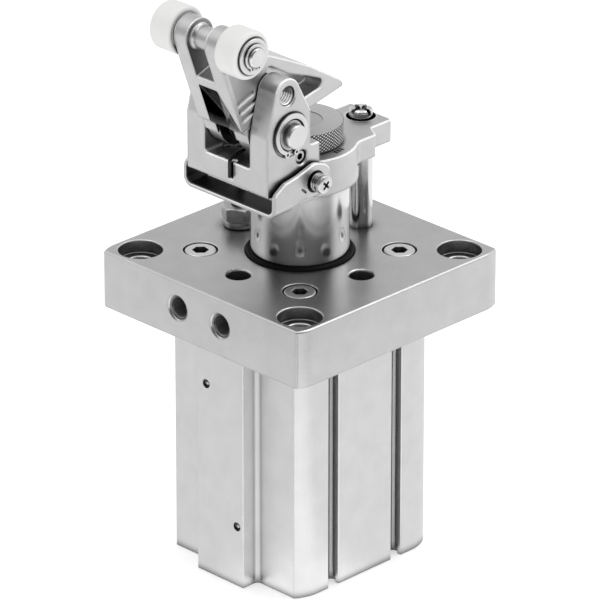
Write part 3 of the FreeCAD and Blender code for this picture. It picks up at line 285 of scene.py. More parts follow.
def metal(name, dark, light, rough, rough_swing, grain_mm, grain_depth_mm, edge_mm=0.3, stretch=(1, 1, 1),
          gap_mm=5.0, gap_tone=0.08, brow=0.0, upright=0.0, painted_shade_and_marks=None):
    """A bare metal: slow blotches of tone, a fine grain, softly broken edges and painted shade in its gaps.

    brow paints a highlight, as a glow, on the edges that look up, upright paints shade on the standing ones,
    and the finish's own function gives the share of light that is left in places of the part's own, as
    painted shade, and on the head also its real scale marks.
    """
    paint = Paint(name)
    blotch = paint.noise(9.0, 4.0)
    grain = paint.noise(grain_mm, 2.0, stretch)
    tone = (blotch * 0.6 + grain * 0.4).ramp(0.3, 0.7)
    bare = paint.mix(tone, grey(dark), grey(light))
    # Painted shade: gaps and holes darkened by ambient occlusion, times the finish's own painted shade
    lit = paint.crevice(gap_mm)
    if painted_shade_and_marks:
        lit = lit * painted_shade_and_marks(paint)
    # Painted highlight: a glow on the edges that look up; painted shade on the standing edges
    if brow:
        wide = paint.rounding(edge_mm * 2.4)
        upward = paint.part_of(wide, "Z").ramp(0.10, 0.35)
        paint.set(Emission_Color=paint.mix(paint.edge(wide) * lit * upward, grey(0.0), grey(brow)),
                  Emission_Strength=1.0)
        lit = lit * (1 - paint.edge(wide, 0.96, 0.99) * (1 - upward) * upright)
    paint.set(Base_Color=paint.mix(lit, grey(dark * gap_tone), bare), Metallic=1.0,
              Roughness=grain.ramp(0.3, 0.7, rough - rough_swing, rough + rough_swing))
    paint.normal(grain, grain_depth_mm, paint.rounding(edge_mm) if edge_mm else None)
    return paint.material


def cast_metal(name="cast_metal", painted_shade_and_marks=None, gap_mm=2.2):
    """Tumbled casting: satin, with a fine pebbled skin, painted highlights on the edges that look up, and
    painted shade in gaps and on standing edges.
    """
    return metal(name, 0.62, 0.70, 0.36, 0.05, 0.45, 0.02, edge_mm=0.6, gap_mm=gap_mm, gap_tone=0.03,
                 brow=1.0, upright=0.3, painted_shade_and_marks=painted_shade_and_marks)


def milled_flange_metal():
    """Milled metal, with painted highlights on its upper edges and painted shade in the threads of the two
    ports.
    """
    def painted_shade_and_marks(paint):
        across, along, height = paint.place()
        deep = along + PLATE_HALF
        # Painted shade inside the two ports, from just past the mouth to the end of the thread
        port = span(abs(across) - PORT_X, height - PORT_Z).fall(5.4, 5.6)
        return 1 - port * deep.ramp(0.8, 2.5, 0.0, 0.75) * deep.fall(16, 17)

    return metal("milled_flange_metal", 0.60, 0.66, 0.30, 0.04, 0.25, 0.006, edge_mm=0.4, gap_mm=8.0,
                 brow=0.5, upright=0.6, painted_shade_and_marks=painted_shade_and_marks)


def anodised_metal():
    """Drawn profile: a grain that runs the length of the tube, with painted highlights on the upper edges and
    painted shade on the standing ones.
    """
    return metal("anodised_metal", 0.66, 0.72, 0.36, 0.04, 0.22, 0.004, stretch=(1, 1, 0.02),
                 brow=0.4, upright=0.6)


def chromed_metal():
    """Ground and polished, with reflections smeared along the rod's length."""
    return metal("chromed_metal", 0.80, 0.84, 0.15, 0.03, 0.12, 0.0012, edge_mm=0.2, stretch=(0.6, 0.6, 1))


def knurled_metal():
    """Bright diamonds between the grooves of the knurl, which get painted shade, and a greyer flat top."""
    def painted_shade_and_marks(paint):
        across, along, height = paint.place()
        rise = height / KNURL_RISE
        turn = along.maths("ARCTAN2", across) * (KNURL_TEETH / (2 * math.pi))
        one, other = (abs((turn + way * rise).maths("FRACT") - 0.5) * 2 for way in (1, -1))
        # Painted shade in the knurl's grooves
        groove = (one.ramp(0.52, 0.7) * 0.85).most(other.ramp(0.45, 0.62))
        side = span(across, along).ramp(17.1, 17.2)
        return 1 - groove * side - (1 - side) * 0.28

    return metal("knurled_metal", 0.90, 0.95, 0.40, 0.04, 0.2, 0.003, edge_mm=0.0, gap_mm=0.5,
                 gap_tone=0.02, painted_shade_and_marks=painted_shade_and_marks)


def head_metal():
    """Cast metal with black scale marks beside the adjusting ring, a painted shadow ring round the lever's
    axle and painted shade in the two floor holes.
    """
    def painted_shade_and_marks(paint):
        across, along, height = paint.place()
        pitch = 5.6
        turn = along.maths("ARCTAN2", across) * (180 / math.pi)
        mark = abs((turn / pitch).maths("FRACT") - 0.5).fall(0.33, 0.38)
        mark = mark * turn.band(0.0, 2.9 * pitch, 0.2) * span(across, along).band(18.1, 20.2, 0.2)
        mark = mark * (height - COLLAR_LOW - COLLAR_TALL).band(-0.2, 0.3, 0.1)
        # Painted shadow: a dark ring on the cheeks round the lever's axle
        shadow_ring = span(along - AXLE.y, height - AXLE.z).band(9.3, 9.5, 0.3)
        dark = mark.most(shadow_ring * 0.85)
        # Painted shade inside the two holes in the fork's floor
        for x, y in FLOOR_HOLES:
            dark = dark.most(span(across - x, along - y).fall(2.3, 2.6) * 0.9)
        return 1 - dark

    return cast_metal("head_metal", painted_shade_and_marks)


def lever_metal():
    """Cast metal, with painted shade inside the windows and on the neck of each side."""
    def painted_shade_and_marks(paint):
        across, along, height = paint.place()
        along, height = along - AXLE.y, height - AXLE.z
        back = along * math.cos(LEAN) + height * math.sin(LEAN)
        up = height * math.cos(LEAN) - along * math.sin(LEAN)
        sideways = abs(paint.part_of(paint.straight(), "X")).ramp(0.5, 0.8)
        inner = abs(across).fall(LEVER_GAP + 0.1, LEVER_GAP + 0.3) * sideways
        outer = abs(across).ramp(11.0, 11.2) * sideways
        neck = back.ramp(-12.8, -12.4) * back.fall(-1.0, 2.0)
        neck = neck * outer * up.ramp(8.0, 22.0) * up.fall(36.0, 38.0)
        # Painted shade inside the windows and on the neck
        window = inner * back.fall(3.5, 4.5) * up.ramp(22.0, 23.0, 0.95, 0.6)
        return 1 - window.most(neck * 0.25)

    return cast_metal("lever_metal", painted_shade_and_marks, 1.6)


def bail_metal():
    """Cast metal, with painted shade inside the bend and a painted black shadow ring round the screws."""
    def painted_shade_and_marks(paint):
        across, along, height = paint.place()
        out = (abs(across) - (BAIL_INNER - BAIL_BEND)).most(0.0)
        down = (BAIL_LOW + BAIL_BEND - height).most(0.0)
        # Painted shade inside the bend, and a painted shadow ring round each screw
        inside = span(out, down).ramp(BAIL_BEND + 0.15, BAIL_BEND + 0.4, 0.10, 1.0)
        return inside * span(along - PIVOT.y, height - PIVOT.z).ramp(4.5, 4.8, 0.03, 1.0)

    return cast_metal("bail_metal", painted_shade_and_marks)


def bronze():
    paint = Paint("bronze")
    grain = paint.noise(0.4)
    paint.set(Base_Color=paint.mix(grain, (0.42, 0.27, 0.12, 1), (0.56, 0.38, 0.18, 1)), Metallic=1.0,
              Roughness=grain.ramp(0.3, 0.7, 0.35, 0.5))
    paint.normal(grain, 0.01, paint.rounding(0.2))
    return paint.material


def plastic(name, colour_one, colour_two, rough, edge_mm=0.3, sheen=0.5):
    paint = Paint(name)
    cloud = paint.noise(6.0)
    grain = paint.noise(0.3)
    # Painted shade: gaps narrower than about 2 mm darkened towards black
    paint.set(Base_Color=paint.mix(paint.crevice(2.0), grey(0.01), paint.mix(cloud, colour_one, colour_two)),
              Roughness=grain.ramp(0.3, 0.7, rough - 0.05, rough + 0.05), Specular_IOR_Level=sheen)
    paint.normal(grain, 0.004, paint.rounding(edge_mm))
    return paint.material


# In these finishes brow paints a highlight on edges, upright paints shade on standing edges, and gap_tone is
# the colour of the painted shade in gaps
NODE_FINISHES = {
    "absorber_body": metal("ring_face_metal", 0.56, 0.62, 0.34, 0.04, 0.25, 0.004, gap_mm=0.6),
    "adjusting_ring": knurled_metal(),
    "stop_nut": metal("nut_metal", 0.46, 0.52, 0.30, 0.04, 0.25, 0.004, gap_tone=0.03, brow=0.4),
    "stopper_head": head_metal(),
    "stop_lever": lever_metal(),
    "lever_spring": metal("dark_spring_metal", 0.03, 0.06, 0.35, 0.05, 0.3, 0.003, edge_mm=0.0, gap_mm=1.5),
    "release_bail": bail_metal(),
}
SLOT_FINISHES = {
    "cast_aluminium": cast_metal(),
    "anodised_body": anodised_metal(),
    "machined_flange": milled_flange_metal(),
    "hard_chrome": chromed_metal(),
    "bright_steel": metal("turned_metal", 0.76, 0.84, 0.34, 0.05, 0.2, 0.003, edge_mm=0.2, gap_tone=0.03,
                          brow=0.15),
    "black_oxide": metal("dark_steel", 0.10, 0.16, 0.38, 0.05, 0.3, 0.004, edge_mm=0.15),
    "spring_steel": metal("spring_metal", 0.60, 0.75, 0.26, 0.05, 0.3, 0.003, edge_mm=0.0, gap_mm=1.5,
                          gap_tone=0.05),
    "roller_plastic": plastic("roller_plastic", (0.86, 0.86, 0.85, 1), (0.90, 0.90, 0.89, 1), 0.35, 0.4),
    "seal_rubber": plastic("seal_rubber", grey(0.003), grey(0.006), 0.5, 0.3, 0.1),
    "bearing_bronze": bronze(),
    "cushion_plastic": plastic("cushion_plastic", (0.5, 0.3, 0.06, 1), (0.56, 0.35, 0.08, 1), 0.4),
}


# Mesh building, in millimetres of the part's own frame


def new_object(name, mesh):
    held = bpy.data.objects.new(name, mesh)
    scene.collection.objects.link(held)
    return held


@contextmanager
def editing(mesh):
    """The mesh as a form to edit, written back at the end."""
    form = bmesh.new()
    form.from_mesh(mesh)
    yield form
    form.to_mesh(mesh)
    form.free()


def solid(spots, faces):
    """An object from spots in millimetres, with its faces turned outwards."""
    mesh = bpy.data.meshes.new("solid")
    mesh.from_pydata([tuple(value * MM for value in spot) for spot in spots], [], faces)
    with editing(mesh) as form:
        bmesh.ops.remove_doubles(form, verts=form.verts, dist=1e-7)
        bmesh.ops.recalc_face_normals(form, faces=form.faces)
    return new_object("solid", mesh)


def modify(held, kind, **settings):
    """Change the object's mesh by a modifier."""
    modifier = held.modifiers.new(kind, kind)
    for key, setting in settings.items():
        setattr(modifier, key, setting)
    seen = held.evaluated_get(bpy.context.evaluated_depsgraph_get())
    mesh = bpy.data.meshes.new_from_object(seen)
    held.modifiers.clear()
    old = held.data
    held.data = mesh
    bpy.data.meshes.remove(old)
    return held


def combine(target, tools, operation):
    for tool in tools:
        modify(target, "BOOLEAN", object=tool, operation=operation, solver="EXACT")
        bpy.data.objects.remove(tool)
    return target


def cut(target, *tools):
    return combine(target, tools, "DIFFERENCE")


def join(target, *tools):
    return combine(target, tools, "UNION")


def keep_common(target, *tools):
    return combine(target, tools, "INTERSECT")


def gather(target, *others):
    """Put loose pieces into one object, without a boolean."""
    with editing(target.data) as form:
        for held in others:
            form.from_mesh(held.data)
    for held in others:
        bpy.data.objects.remove(held)
    return target


def shade(held, angle=32):
    """Smooth shading that breaks at every edge sharper than angle."""
    held.data.shade_smooth()
    held.data.set_sharp_from_angle(angle=math.radians(angle))
    return held


def soften(held, width, segments=2, angle=32):
    """Round every edge sharper than angle, and shade the rest smooth."""
    held.data.shade_smooth()
    modify(held, "BEVEL", width=width * MM, segments=segments, limit_method="ANGLE",
           angle_limit=math.radians(angle), use_clamp_overlap=False, miter_outer="MITER_ARC")
    return modify(held, "WEIGHTED_NORMAL", mode="FACE_AREA", weight=90)


def polar(centre, radius, degrees):
    turn = math.radians(degrees)
    return centre[0] + radius * math.cos(turn), centre[1] + radius * math.sin(turn)


def arc(centre, radius, start, end, step=6):
    """Spots along an arc, from start to end in degrees."""
    count = max(2, round(abs(end - start) / step))
    return [polar(centre, radius, start + (end - start) * i / count) for i in range(count + 1)]


def dome(radius, tall, top, degrees):
    """The section of a flattened crown whose highest spot is at top."""
    return [(radius * math.cos(math.radians(a)), top - tall + tall * math.sin(math.radians(a)))
            for a in degrees]


def rounded(corners, step=7):
    """An outline whose corners (x, y, radius) are replaced by arcs."""
    spots = []
    for i, corner in enumerate(corners):
        x, y, radius = (*corner, 0)[:3]
        if not radius:
            spots.append((x, y))
            continue
        here = Vector((x, y))
        before = (Vector(corners[i - 1][:2]) - here).normalized()
        after = (Vector(corners[(i + 1) % len(corners)][:2]) - here).normalized()
        half = before.angle(after) / 2
        centre = here + (before + after).normalized() * (radius / math.sin(half))
        run = radius / math.tan(half)
        start, end = here + before * run - centre, here + after * run - centre
        sweep = math.degrees(start.angle_signed(end))
        first = math.degrees(math.atan2(start.y, start.x))
        count = max(2, round(abs(sweep) / step))
        spots += [polar(centre, radius, first - sweep * k / count) for k in range(count + 1)]
    return spots


def disc(x, y, dia, count):
    return [polar((x, y), dia / 2, 360 * i / count) for i in range(count)]


def hexagon(x, y, flats, turn):
    return [polar((x, y), flats / math.sqrt(3), turn + 60 * i) for i in range(6)]


def box_outline(x_low, y_low, x_high, y_high):
    return [(x_low, y_low), (x_high, y_low), (x_high, y_high), (x_low, y_high)]


def mirrored(outline):
    return [(-spot[0], *spot[1:]) for spot in reversed(outline)]


# How a flat outline (a, b) and a height lie in space, by the axis that the height follows
LAY = {
    "x": lambda a, b, height: (height, a, b),
    "-x": lambda a, b, height: (-height, a, b),
    "y": lambda a, b, height: (a, height, b),
    "z": lambda a, b, height: (a, b, height),
}


def about(centre, along, radius, degrees, height):
    """A spot at a radius, a turn and a height about an axis through centre."""
    spot = LAY[along](*polar((0, 0), radius, degrees), height)
    return tuple(a + b for a, b in zip(spot, centre))


def sleeve(rows, around):
    """Faces between neighbouring rings of spots."""
    return [(row * around + i, row * around + (i + 1) % around,
             (row + 1) * around + (i + 1) % around, (row + 1) * around + i)
            for row in range(rows) for i in range(around)]


def prism(outline, low, high, along="z"):
    """A straight solid on an outline: (y, z) along x, (x, z) along y, (x, y) along z."""
    count = len(outline)
    spots = [LAY[along](a, b, level) for level in sorted((low, high)) for a, b in outline]
    faces = [tuple(range(count)), tuple(range(2 * count - 1, count - 1, -1))]
    return solid(spots, faces + sleeve(1, count))


def lathe(section, centre=(0, 0, 0), along="z", count=96):
    """A closed section of (radius, height), turned round an axis through centre."""
    spots = [about(centre, along, radius, 360 * i / count, height)
             for i in range(count) for radius, height in section]
    faces = []
    long = len(section)
    for i in range(count):
        for k in range(long):
            there, then = (i + 1) % count, (k + 1) % long
            if section[k][0] or section[then][0]:
                faces.append((i * long + k, there * long + k, there * long + then, i * long + then))
    held = solid(spots, faces)
    with editing(held.data) as form:
        bmesh.ops.dissolve_degenerate(form, edges=form.edges, dist=1e-7)
        bmesh.ops.recalc_face_normals(form, faces=form.faces)
    return held


def both_ways(half):
    """A section from its upper half, the lower half mirrored."""
    return [(radius, -height) for radius, height in reversed(half)] + half


def open_lathe(line, count):
    """A surface of revolution about Z on an open line of (radius, height)."""
    spots = [(*polar((0, 0), radius, 360 * i / count), height)
             for radius, height in line for i in range(count)]
    return solid(spots, sleeve(len(line) - 1, count))


def tapped_wall(core, crest, pitch, low, high, centre, along):
    """The wall of a tapped hole: its radius runs from core to crest along a helix, and it looks inwards."""
    around, rows_a_turn = 48, 8
    rows = round((high - low) / pitch * rows_a_turn)
    spots = []
    for row in range(rows + 1):
        height = low + (high - low) * row / rows
        for i in range(around):
            phase = (height / pitch + i / around) % 1.0
            radius = core + (crest - core) * min(1.0, max(0.0, 2.6 * abs(phase - 0.5) - 0.15))
            spots.append(about(centre, along, radius, 360 * i / around, height))
    held = solid(spots, sleeve(rows, around))
    axis = "xyz".index(along[-1])
    with editing(held.data) as form:
        for face in form.faces:
            middle = face.calc_center_median()
            out = Vector([0 if k == axis else middle[k] - centre[k] * MM for k in range(3)])
            if face.normal.dot(out) > 0:
                face.normal_flip()
    return shade(held, 50)


def wire(path, radius, sides):
    """A round wire through spots, with closed ends."""
    path = [Vector(spot) for spot in path]
    last = len(path) - 1
    spots, across = [], None
    for i, spot in enumerate(path):
        ahead = (path[min(i + 1, last)] - path[max(i - 1, 0)]).normalized()
        if across is None:
            across = ahead.orthogonal().normalized()
        across = (across - ahead * across.dot(ahead)).normalized()
        side = ahead.cross(across)
        for k in range(sides):
            right, up = polar((0, 0), radius, 360 * k / sides)
            spots.append(spot + across * right + side * up)
    ends = [tuple(range(sides)), tuple(last * sides + k for k in range(sides - 1, -1, -1))]
    return solid(spots, sleeve(last, sides) + ends)


def helix(centre, radius, low, high, turns, along="z"):
    count = round(turns * 40)
    return [about(centre, along, radius, 360 * turns * i / count, low + (high - low) * i / count)
            for i in range(count + 1)]


def dress(held, node):
    """Give an object the node's own finish, or the finish of the node's slot."""
    held.data.materials.clear()
    held.data.materials.append(NODE_FINISHES.get(node) or SLOT_FINISHES[SLOT_OF[node]])


def stand_for(held, node):
    """Name the piece, give it its node's finish and body, and hide the node."""
    held.name = node + "_piece"
    held.data.name = held.name
    dress(held, node)
    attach(held, BODY_OF[node])
    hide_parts(node)
    return held


for node, held in frame["nodes"].items():
    dress(shade(held, 28), node)


# The cylinder, its flange and what stands on the flange


def square(half, inset, corner):
    """A square whose corner arcs run out smoothly into the +X and -X sides."""
    run = corner - inset
    rise = math.sqrt(corner ** 2 - run ** 2)
    slant = math.degrees(math.atan2(rise, run))
    quarter = arc((half - corner, half - rise), corner, 0, slant, 3)
    top = quarter + mirrored(quarter)
    return top + [(-x, -y) for x, y in top]


def sensor_slot(y):
    """Half-open outline of one slot in the +X face, from low y to high y."""
    mouth, neck, inner, deep, bevel = 2.7, 2.0, 4.0, 5.6, 0.5
    half = [(0, mouth + bevel), (bevel, mouth), (neck, mouth), (neck, inner - 0.4), (neck + 0.5, inner),
            (deep - 1, inner), (deep, inner - 1)]
    rising = [(BODY_HALF - inward, y - wide) for inward, wide in half]
    return rising + [(BODY_HALF - inward, y + wide) for inward, wide in reversed(half)]


def make_body():
    """The drawn tube: two sensor slots on each side, and a raised panel for the air duct in front."""
    half, panel, root, brim, slot_place = BODY_HALF, 13.2, 2.0, 0.6, 18
    upper = [spot for spot in square(half, 3.45, 17.0) if spot[0] > 0 and spot[1] > 0]
    lower = [(x, -y) for x, y in reversed(upper)]
    side = lower + sensor_slot(-slot_place) + sensor_slot(slot_place) + upper
    front = [(panel + root, -half), *arc((panel + root, -half - root), root, 90, 180, 15)[1:],
             (panel, PANEL_FRONT + brim),
             *arc((panel - brim, PANEL_FRONT + brim), brim, 0, -90, 15)[1:]]
    outline = side + mirrored(side) + [(-x, y) for x, y in front] + list(reversed(front))
    held = prism(outline, BODY_LOW, -0.02)
    cut(held, lathe([(0, BODY_LOW - 1), (BORE_RADIUS, BODY_LOW - 1), (BORE_RADIUS, 1), (0, 1)], count=128))
    for x, z in PLUG_SPOTS:
        cut(held, lathe([(0, -1), (1.85, -1), (1.85, 5), (0, 5)], (x, PANEL_FRONT, z), "y", 48))
    stand_for(soften(held, 0.2), "cylinder_body")


def make_plugs():
    """Steel balls pressed into the duct holes, each in a short sleeve."""
    ball = [polar((0, 1.9), 1.35, -a) for a in range(0, 90, 9)]
    section = [(0, 3.4), (1.78, 3.4), (1.78, 1.0), (1.5, 1.15), *ball, (0, 0.55)]
    plugs = [lathe(section, (x, PANEL_FRONT, z), "y", 48) for x, z in PLUG_SPOTS]
    stand_for(shade(gather(*plugs)), "sealing_plugs")


def make_flange():
    """The square plate with its spigot, counterbored holes, guide seats and two tapped ports."""
    held = soften(prism(square(PLATE_HALF, 2.15, 14.0), 0, DECK), 0.7, 1, 40)
    spigot = levels("mounting_flange")[0]
    plug, over = BORE_RADIUS - 0.1, DECK + 1
    join(held, lathe([(0, 5), (plug, 5), (plug, -14), (27, -14), (27, spigot), (0, spigot)]))
    tools = [lathe([(0, spigot - 1), (23, spigot - 1), (23, DECK - 5), (22, DECK - 5), (22, DECK - 0.4),
                    (22.5, DECK + 0.1), (22.5, over), (0, over)], count=128)]
    floor = DECK - 5.5
    bolt_hole = [(0, -1), (5.65, -1), (5.25, 0.4), (5.25, floor - 0.5), (5.75, floor), (9, floor),
                 (9, DECK - 0.4), (9.5, DECK + 0.1), (9.5, over), (0, over)]
    screw_hole = [(0, -1), (4.05, -1), (4.05, DECK - 8), (7, DECK - 8), (7, DECK - 0.3),
                  (7.35, DECK + 0.05), (7.35, over), (0, over)]
    for sx, sy in CORNERS:
        tools.append(lathe(bolt_hole, (sx * CORNER_BOLT_PLACE, sy * CORNER_BOLT_PLACE, 0)))
        tools.append(lathe(screw_hole, (sx * SCREW_PLACE, sy * SCREW_PLACE, 0)))
    seat, seat_low = 4.95, DECK - 18
    spare = [(0, seat_low), (seat, seat_low), (seat, DECK - 0.6), (5.6, DECK + 0.05), (5.6, over), (0, over)]
    used = [(0, seat_low), (seat, seat_low), (seat, over), (0, over)]
    for section, x, y in ((spare, 1, 0), (spare, 0, -1), (used, -1, 0), (used, 0, 1)):
        tools.append(lathe(section, (x * GUIDE_PLACE, y * GUIDE_PLACE, 0), count=64))
    ports = [(x, -PLATE_HALF, PORT_Z) for x in (-PORT_X, PORT_X)]
    mouth, thread_long = PORT_CREST + 0.8, 12
    for port in ports:
        tools.append(lathe([(0, -1), (mouth, -1), (mouth, 0), (PORT_CREST, 0.8), (PORT_CREST, thread_long),
                            (0, 14.5)], port, "y", 48))
    cut(held, *tools)
    soften(held, 0.2)
    gather(held, *[tapped_wall(PORT_CORE, PORT_CREST, 0.907, 0.7, thread_long, port, "y") for port in ports])
    stand_for(held, "mounting_flange")


def make_joining_screws():
    """Four cylinder-head screws with hexagon sockets."""
    top, head, shank, head_tall, long, socket, deep = DECK - 0.15, 6.5, 4, 8, 43, 6, 4
    section = [(0, 0), (head - 0.7, 0), (head - 0.15, -0.3), (head, -0.8), (head, -head_tall),
               (shank, -head_tall), (shank, -long), (0, -long)]
    screws = []
    for sx, sy in CORNERS:
        x, y = sx * SCREW_PLACE, sy * SCREW_PLACE
        screws.append(lathe(section, (x, y, top), count=72))
        cut(screws[-1], prism(hexagon(x, y, socket, 47), top - deep, top + 1))
    stand_for(soften(gather(*screws), 0.15), "joining_screws")


def make_wiper():
    held = lathe([(20.05, DECK - 5), (22, DECK - 5), (22, DECK + 0.2), (21.5, DECK + 1.1), (21.0, DECK + 1.3),
                  (20.5, DECK + 0.9), (20.05, DECK + 1.2)], count=128)
    stand_for(shade(held, 50), "wiper_ring")


def make_rod():
    """The hollow rod: a chromed outside, and a thinner neck inside the head's collar."""
    low, high = levels("piston_rod")
    radius, neck, hollow, screw_hole, floor = 20, 17, 15, 6.05, low + 24
    held = lathe([(screw_hole, low), (radius - 0.4, low), (radius, low + 0.4), (radius, COLLAR_LOW - 0.3),
                  (radius - 0.3, COLLAR_LOW), (neck, COLLAR_LOW), (neck, high), (hollow, high),
                  (hollow, floor), (screw_hole, floor)], count=160)
    stand_for(shade(held, 30), "piston_rod")


def make_guide_rod():
    """The fixed guide rod, with a screwdriver slot and a finer cross slot in its end."""
    low, high = levels("guide_rod")
    radius, slot = 4.92, 0.9
    held = lathe([(0, low), (radius, low), (radius, high - 1.1), (radius - 0.3, high - 0.5),
                  (radius - 1.0, high), (2.5, high), (1.6, high - 1.3), (0, high - 1.3)],
                 (0, GUIDE_PLACE, 0), count=72)
    cut(held, prism(box_outline(-7, GUIDE_PLACE - slot, 7, GUIDE_PLACE + slot), high - 2.4, high + 1),
        prism(box_outline(-slot, GUIDE_PLACE - 7, slot, GUIDE_PLACE + 7), high - 1.5, high + 1))
    stand_for(soften(held, 0.15), "guide_rod")


def make_return_spring():
    """A soft coil under the piston, at the length of its node."""
    low, high = levels("return_spring")
    coil_radius, thin, turns = 23, 2.25, 4
    coil = wire(helix((0, 0, 0), coil_radius, low + thin, high - thin, turns), thin, 20)
    spring = stand_for(shade(coil, 60), "return_spring")
    tall = (high - low) * MM
    stroke = -JOINT["rod_slide"]["range_m"][0]
    1 - stroke / tall
    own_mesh(spring)


def make_stop_post():
    """The post that the head's arm comes down on, with its nut and stud."""
    centre = (-GUIDE_PLACE, 0, 0)
    low, high = levels("stop_post")
    radius, root = 6.5, 4.9
    post = lathe([(0, low), (root, low), (root, DECK), (radius - 0.2, DECK), (radius, DECK + 0.2),
                  (radius, DECK + 0.9), (radius - 0.15, DECK + 1.05), (radius, DECK + 1.2),
                  (radius, high - 0.2), (radius - 0.2, high), (0, high)], centre, count=72)
    stand_for(soften(post, 0.06, 1), "stop_post")
    low, high = levels("stop_nut")
    crown, flat, hole = 7.6, 6.3, 3.05
    nut = prism(hexagon(-GUIDE_PLACE, 0, 13, 30), low, high)
    keep_common(nut, lathe([(0, low - 0.1), (flat, low - 0.1), (crown, low + 0.65), (crown, high - 0.65),
                            (flat, high + 0.1), (0, high + 0.1)], centre, count=72))
    cut(nut, lathe([(0, low - 1), (hole, low - 1), (hole, high - 0.5), (3.5, high + 0.1), (3.5, high + 1),
                    (0, high + 1)], centre, count=48))
    stand_for(soften(nut, 0.1, angle=20), "stop_nut")
    low, high = levels("stop_stud")
    radius = 2.97
    stud = lathe([(0, low), (radius, low), (radius, high - 0.5), (2.5, high), (0, high)], centre, count=48)
    stand_for(shade(stud, 40), "stop_stud")


# The head and what it carries


def make_ring():
    """The adjusting ring: a coarse diamond knurl under a plain flat top."""
    low, high = levels("adjusting_ring")
    radius, hub, deep, bevel = in_mm("adjusting_ring")[1].x, 9.05, 0.3, 0.12
    around, rows = KNURL_TEETH * 10, 56
    spots = []
    for row in range(rows + 1):
        height = low + bevel + (high - low - 2 * bevel) * row / rows
        fade = min(1.0, row, rows - row)
        for i in range(around):
            turn = KNURL_TEETH * i / around
            one, other = (abs((turn + way * height / KNURL_RISE) % 1.0 - 0.5) * 2 for way in (1, -1))
            wide = radius - deep * fade * max(max(one, other) - 0.5, 0) / 0.5
            spots.append((*polar((0, 0), wide, 360 * i / around), height))
    knurl = shade(solid(spots, sleeve(rows, around)), 30)
    crown = open_lathe([(radius, high - bevel), (radius - bevel, high), (hub, high), (hub, low),
                        (radius - bevel, low), (radius, low + bevel)], 192)
    stand_for(gather(knurl, shade(crown, 25)), "adjusting_ring")


def make_plunger():
    low, high = levels("absorber_plunger")
    held = lathe([(0, low), (3.6, low), (4, low + 0.4), *dome(4, 1.2, high, range(0, 90, 10)), (0, high)],
                 count=72)
    stand_for(shade(held, 40), "absorber_plunger")


def make_head():
    """The forked head: two cheeks on a collar that clamps the rod, with an arm behind."""
    zero, rim_radius = COLLAR_LOW, 23.3
    cheek = rounded([
        (-40.5, zero + 8.9, 1.2), (-40.5, zero + 33.9, 5), (-31.5, zero + 68.6, 6.6), (-16.6, zero + 39.9, 3),
        (-16.6, zero + 25.2, 0.8), (-11.6, zero + 25.2, 0.8), (-11.6, zero + 1.0, 1), (-25, zero + 1.0, 3),
        (-27.5, zero + 8.9, 1),
    ])
    held = prism(cheek, -HEAD_HALF, HEAD_HALF, "x")
    side = [*arc((24.0, 16.81), 6.0, 215, 180, 7), (18, 24.8, 1.5), (11.7, 28.5, 1.5), (11.7, 40.6, 1.5)]
    rim = arc((0, 0), rim_radius, 147, 393, 3)
    back_rim = arc((0, 0), rim_radius, 33, 147, 3)[1:-1]
    arm = prism(rounded(side + mirrored(side)) + rim, zero + 6, zero + COLLAR_TALL)
    join(held, prism(rim + back_rim, zero, zero + 6.5), arm)

    floor, fork_half = zero + 18.9, 12.6
    fork = rounded([(-fork_half, floor, 1.2), (fork_half, floor, 1.2), (fork_half, zero + 90),
                    (-fork_half, zero + 90)])
    seat = zero + 10.5
    guide = lathe([(0, zero), (5.0, zero), (5.0, seat), (5.9, seat), (5.9, seat + 4.7), (6.2, seat + 5.05),
                   (6.2, seat + 7), (0, seat + 7)], (0, GUIDE_PLACE, 0), count=64)
    tools = [prism(fork, -60, 60, "y"), prism(disc(0, 0, 35.8, 96), zero + COLLAR_TALL, zero + 90),
             prism(disc(0, 0, 34.06, 96), zero - 1, zero + 16), guide,
             prism(disc(AXLE.y, AXLE.z, 14.06, 72), -40, 40, "x")]
    lug, lug_core, lug_crest, lug_pitch = (-29.0, zero + 49.4), 3.3, 3.97, 1.25
    grub, grub_hole = (-21.4, zero + 21.2), 2.9
    holes = (
        (lug, 48, [(0, -20), (lug_crest, -20), (lug_crest, -0.6), (4.6, 0), (4.6, 3), (0, 3)]),
        (grub, 48, [(0, -9), (grub_hole, -9), (grub_hole, -0.6), (3.5, 0), (3.5, 3), (0, 3)]),
        ((PIVOT.y, PIVOT.z), 32, [(0, -7), (2.1, -7), (2.1, 3), (0, 3)]),
    )
    tools += [lathe(section, (sign * HEAD_HALF, *spot), along, count)
              for _, along, sign in SIDES for spot, count, section in holes]
    groove, leg, groove_back = 0.78, 2.5, -38.0
    tools.append(prism(rounded([(leg - groove, -60), (leg + groove, -60), (leg + groove, groove_back, 0.7),
                                (leg - groove, groove_back, 0.7)]), floor - 7.2, floor + 2))
    tools += [prism(disc(x, y, 3.0, 24), floor - 4, floor + 2) for x, y in FLOOR_HOLES]
    cut(held, *tools)
    soften(held, 0.25)
    gather(held, *[tapped_wall(lug_core, lug_crest, lug_pitch, -10.0, -0.6, (sign * HEAD_HALF, *lug), along)
                   for _, along, sign in SIDES])
    stand_for(held, "stopper_head")


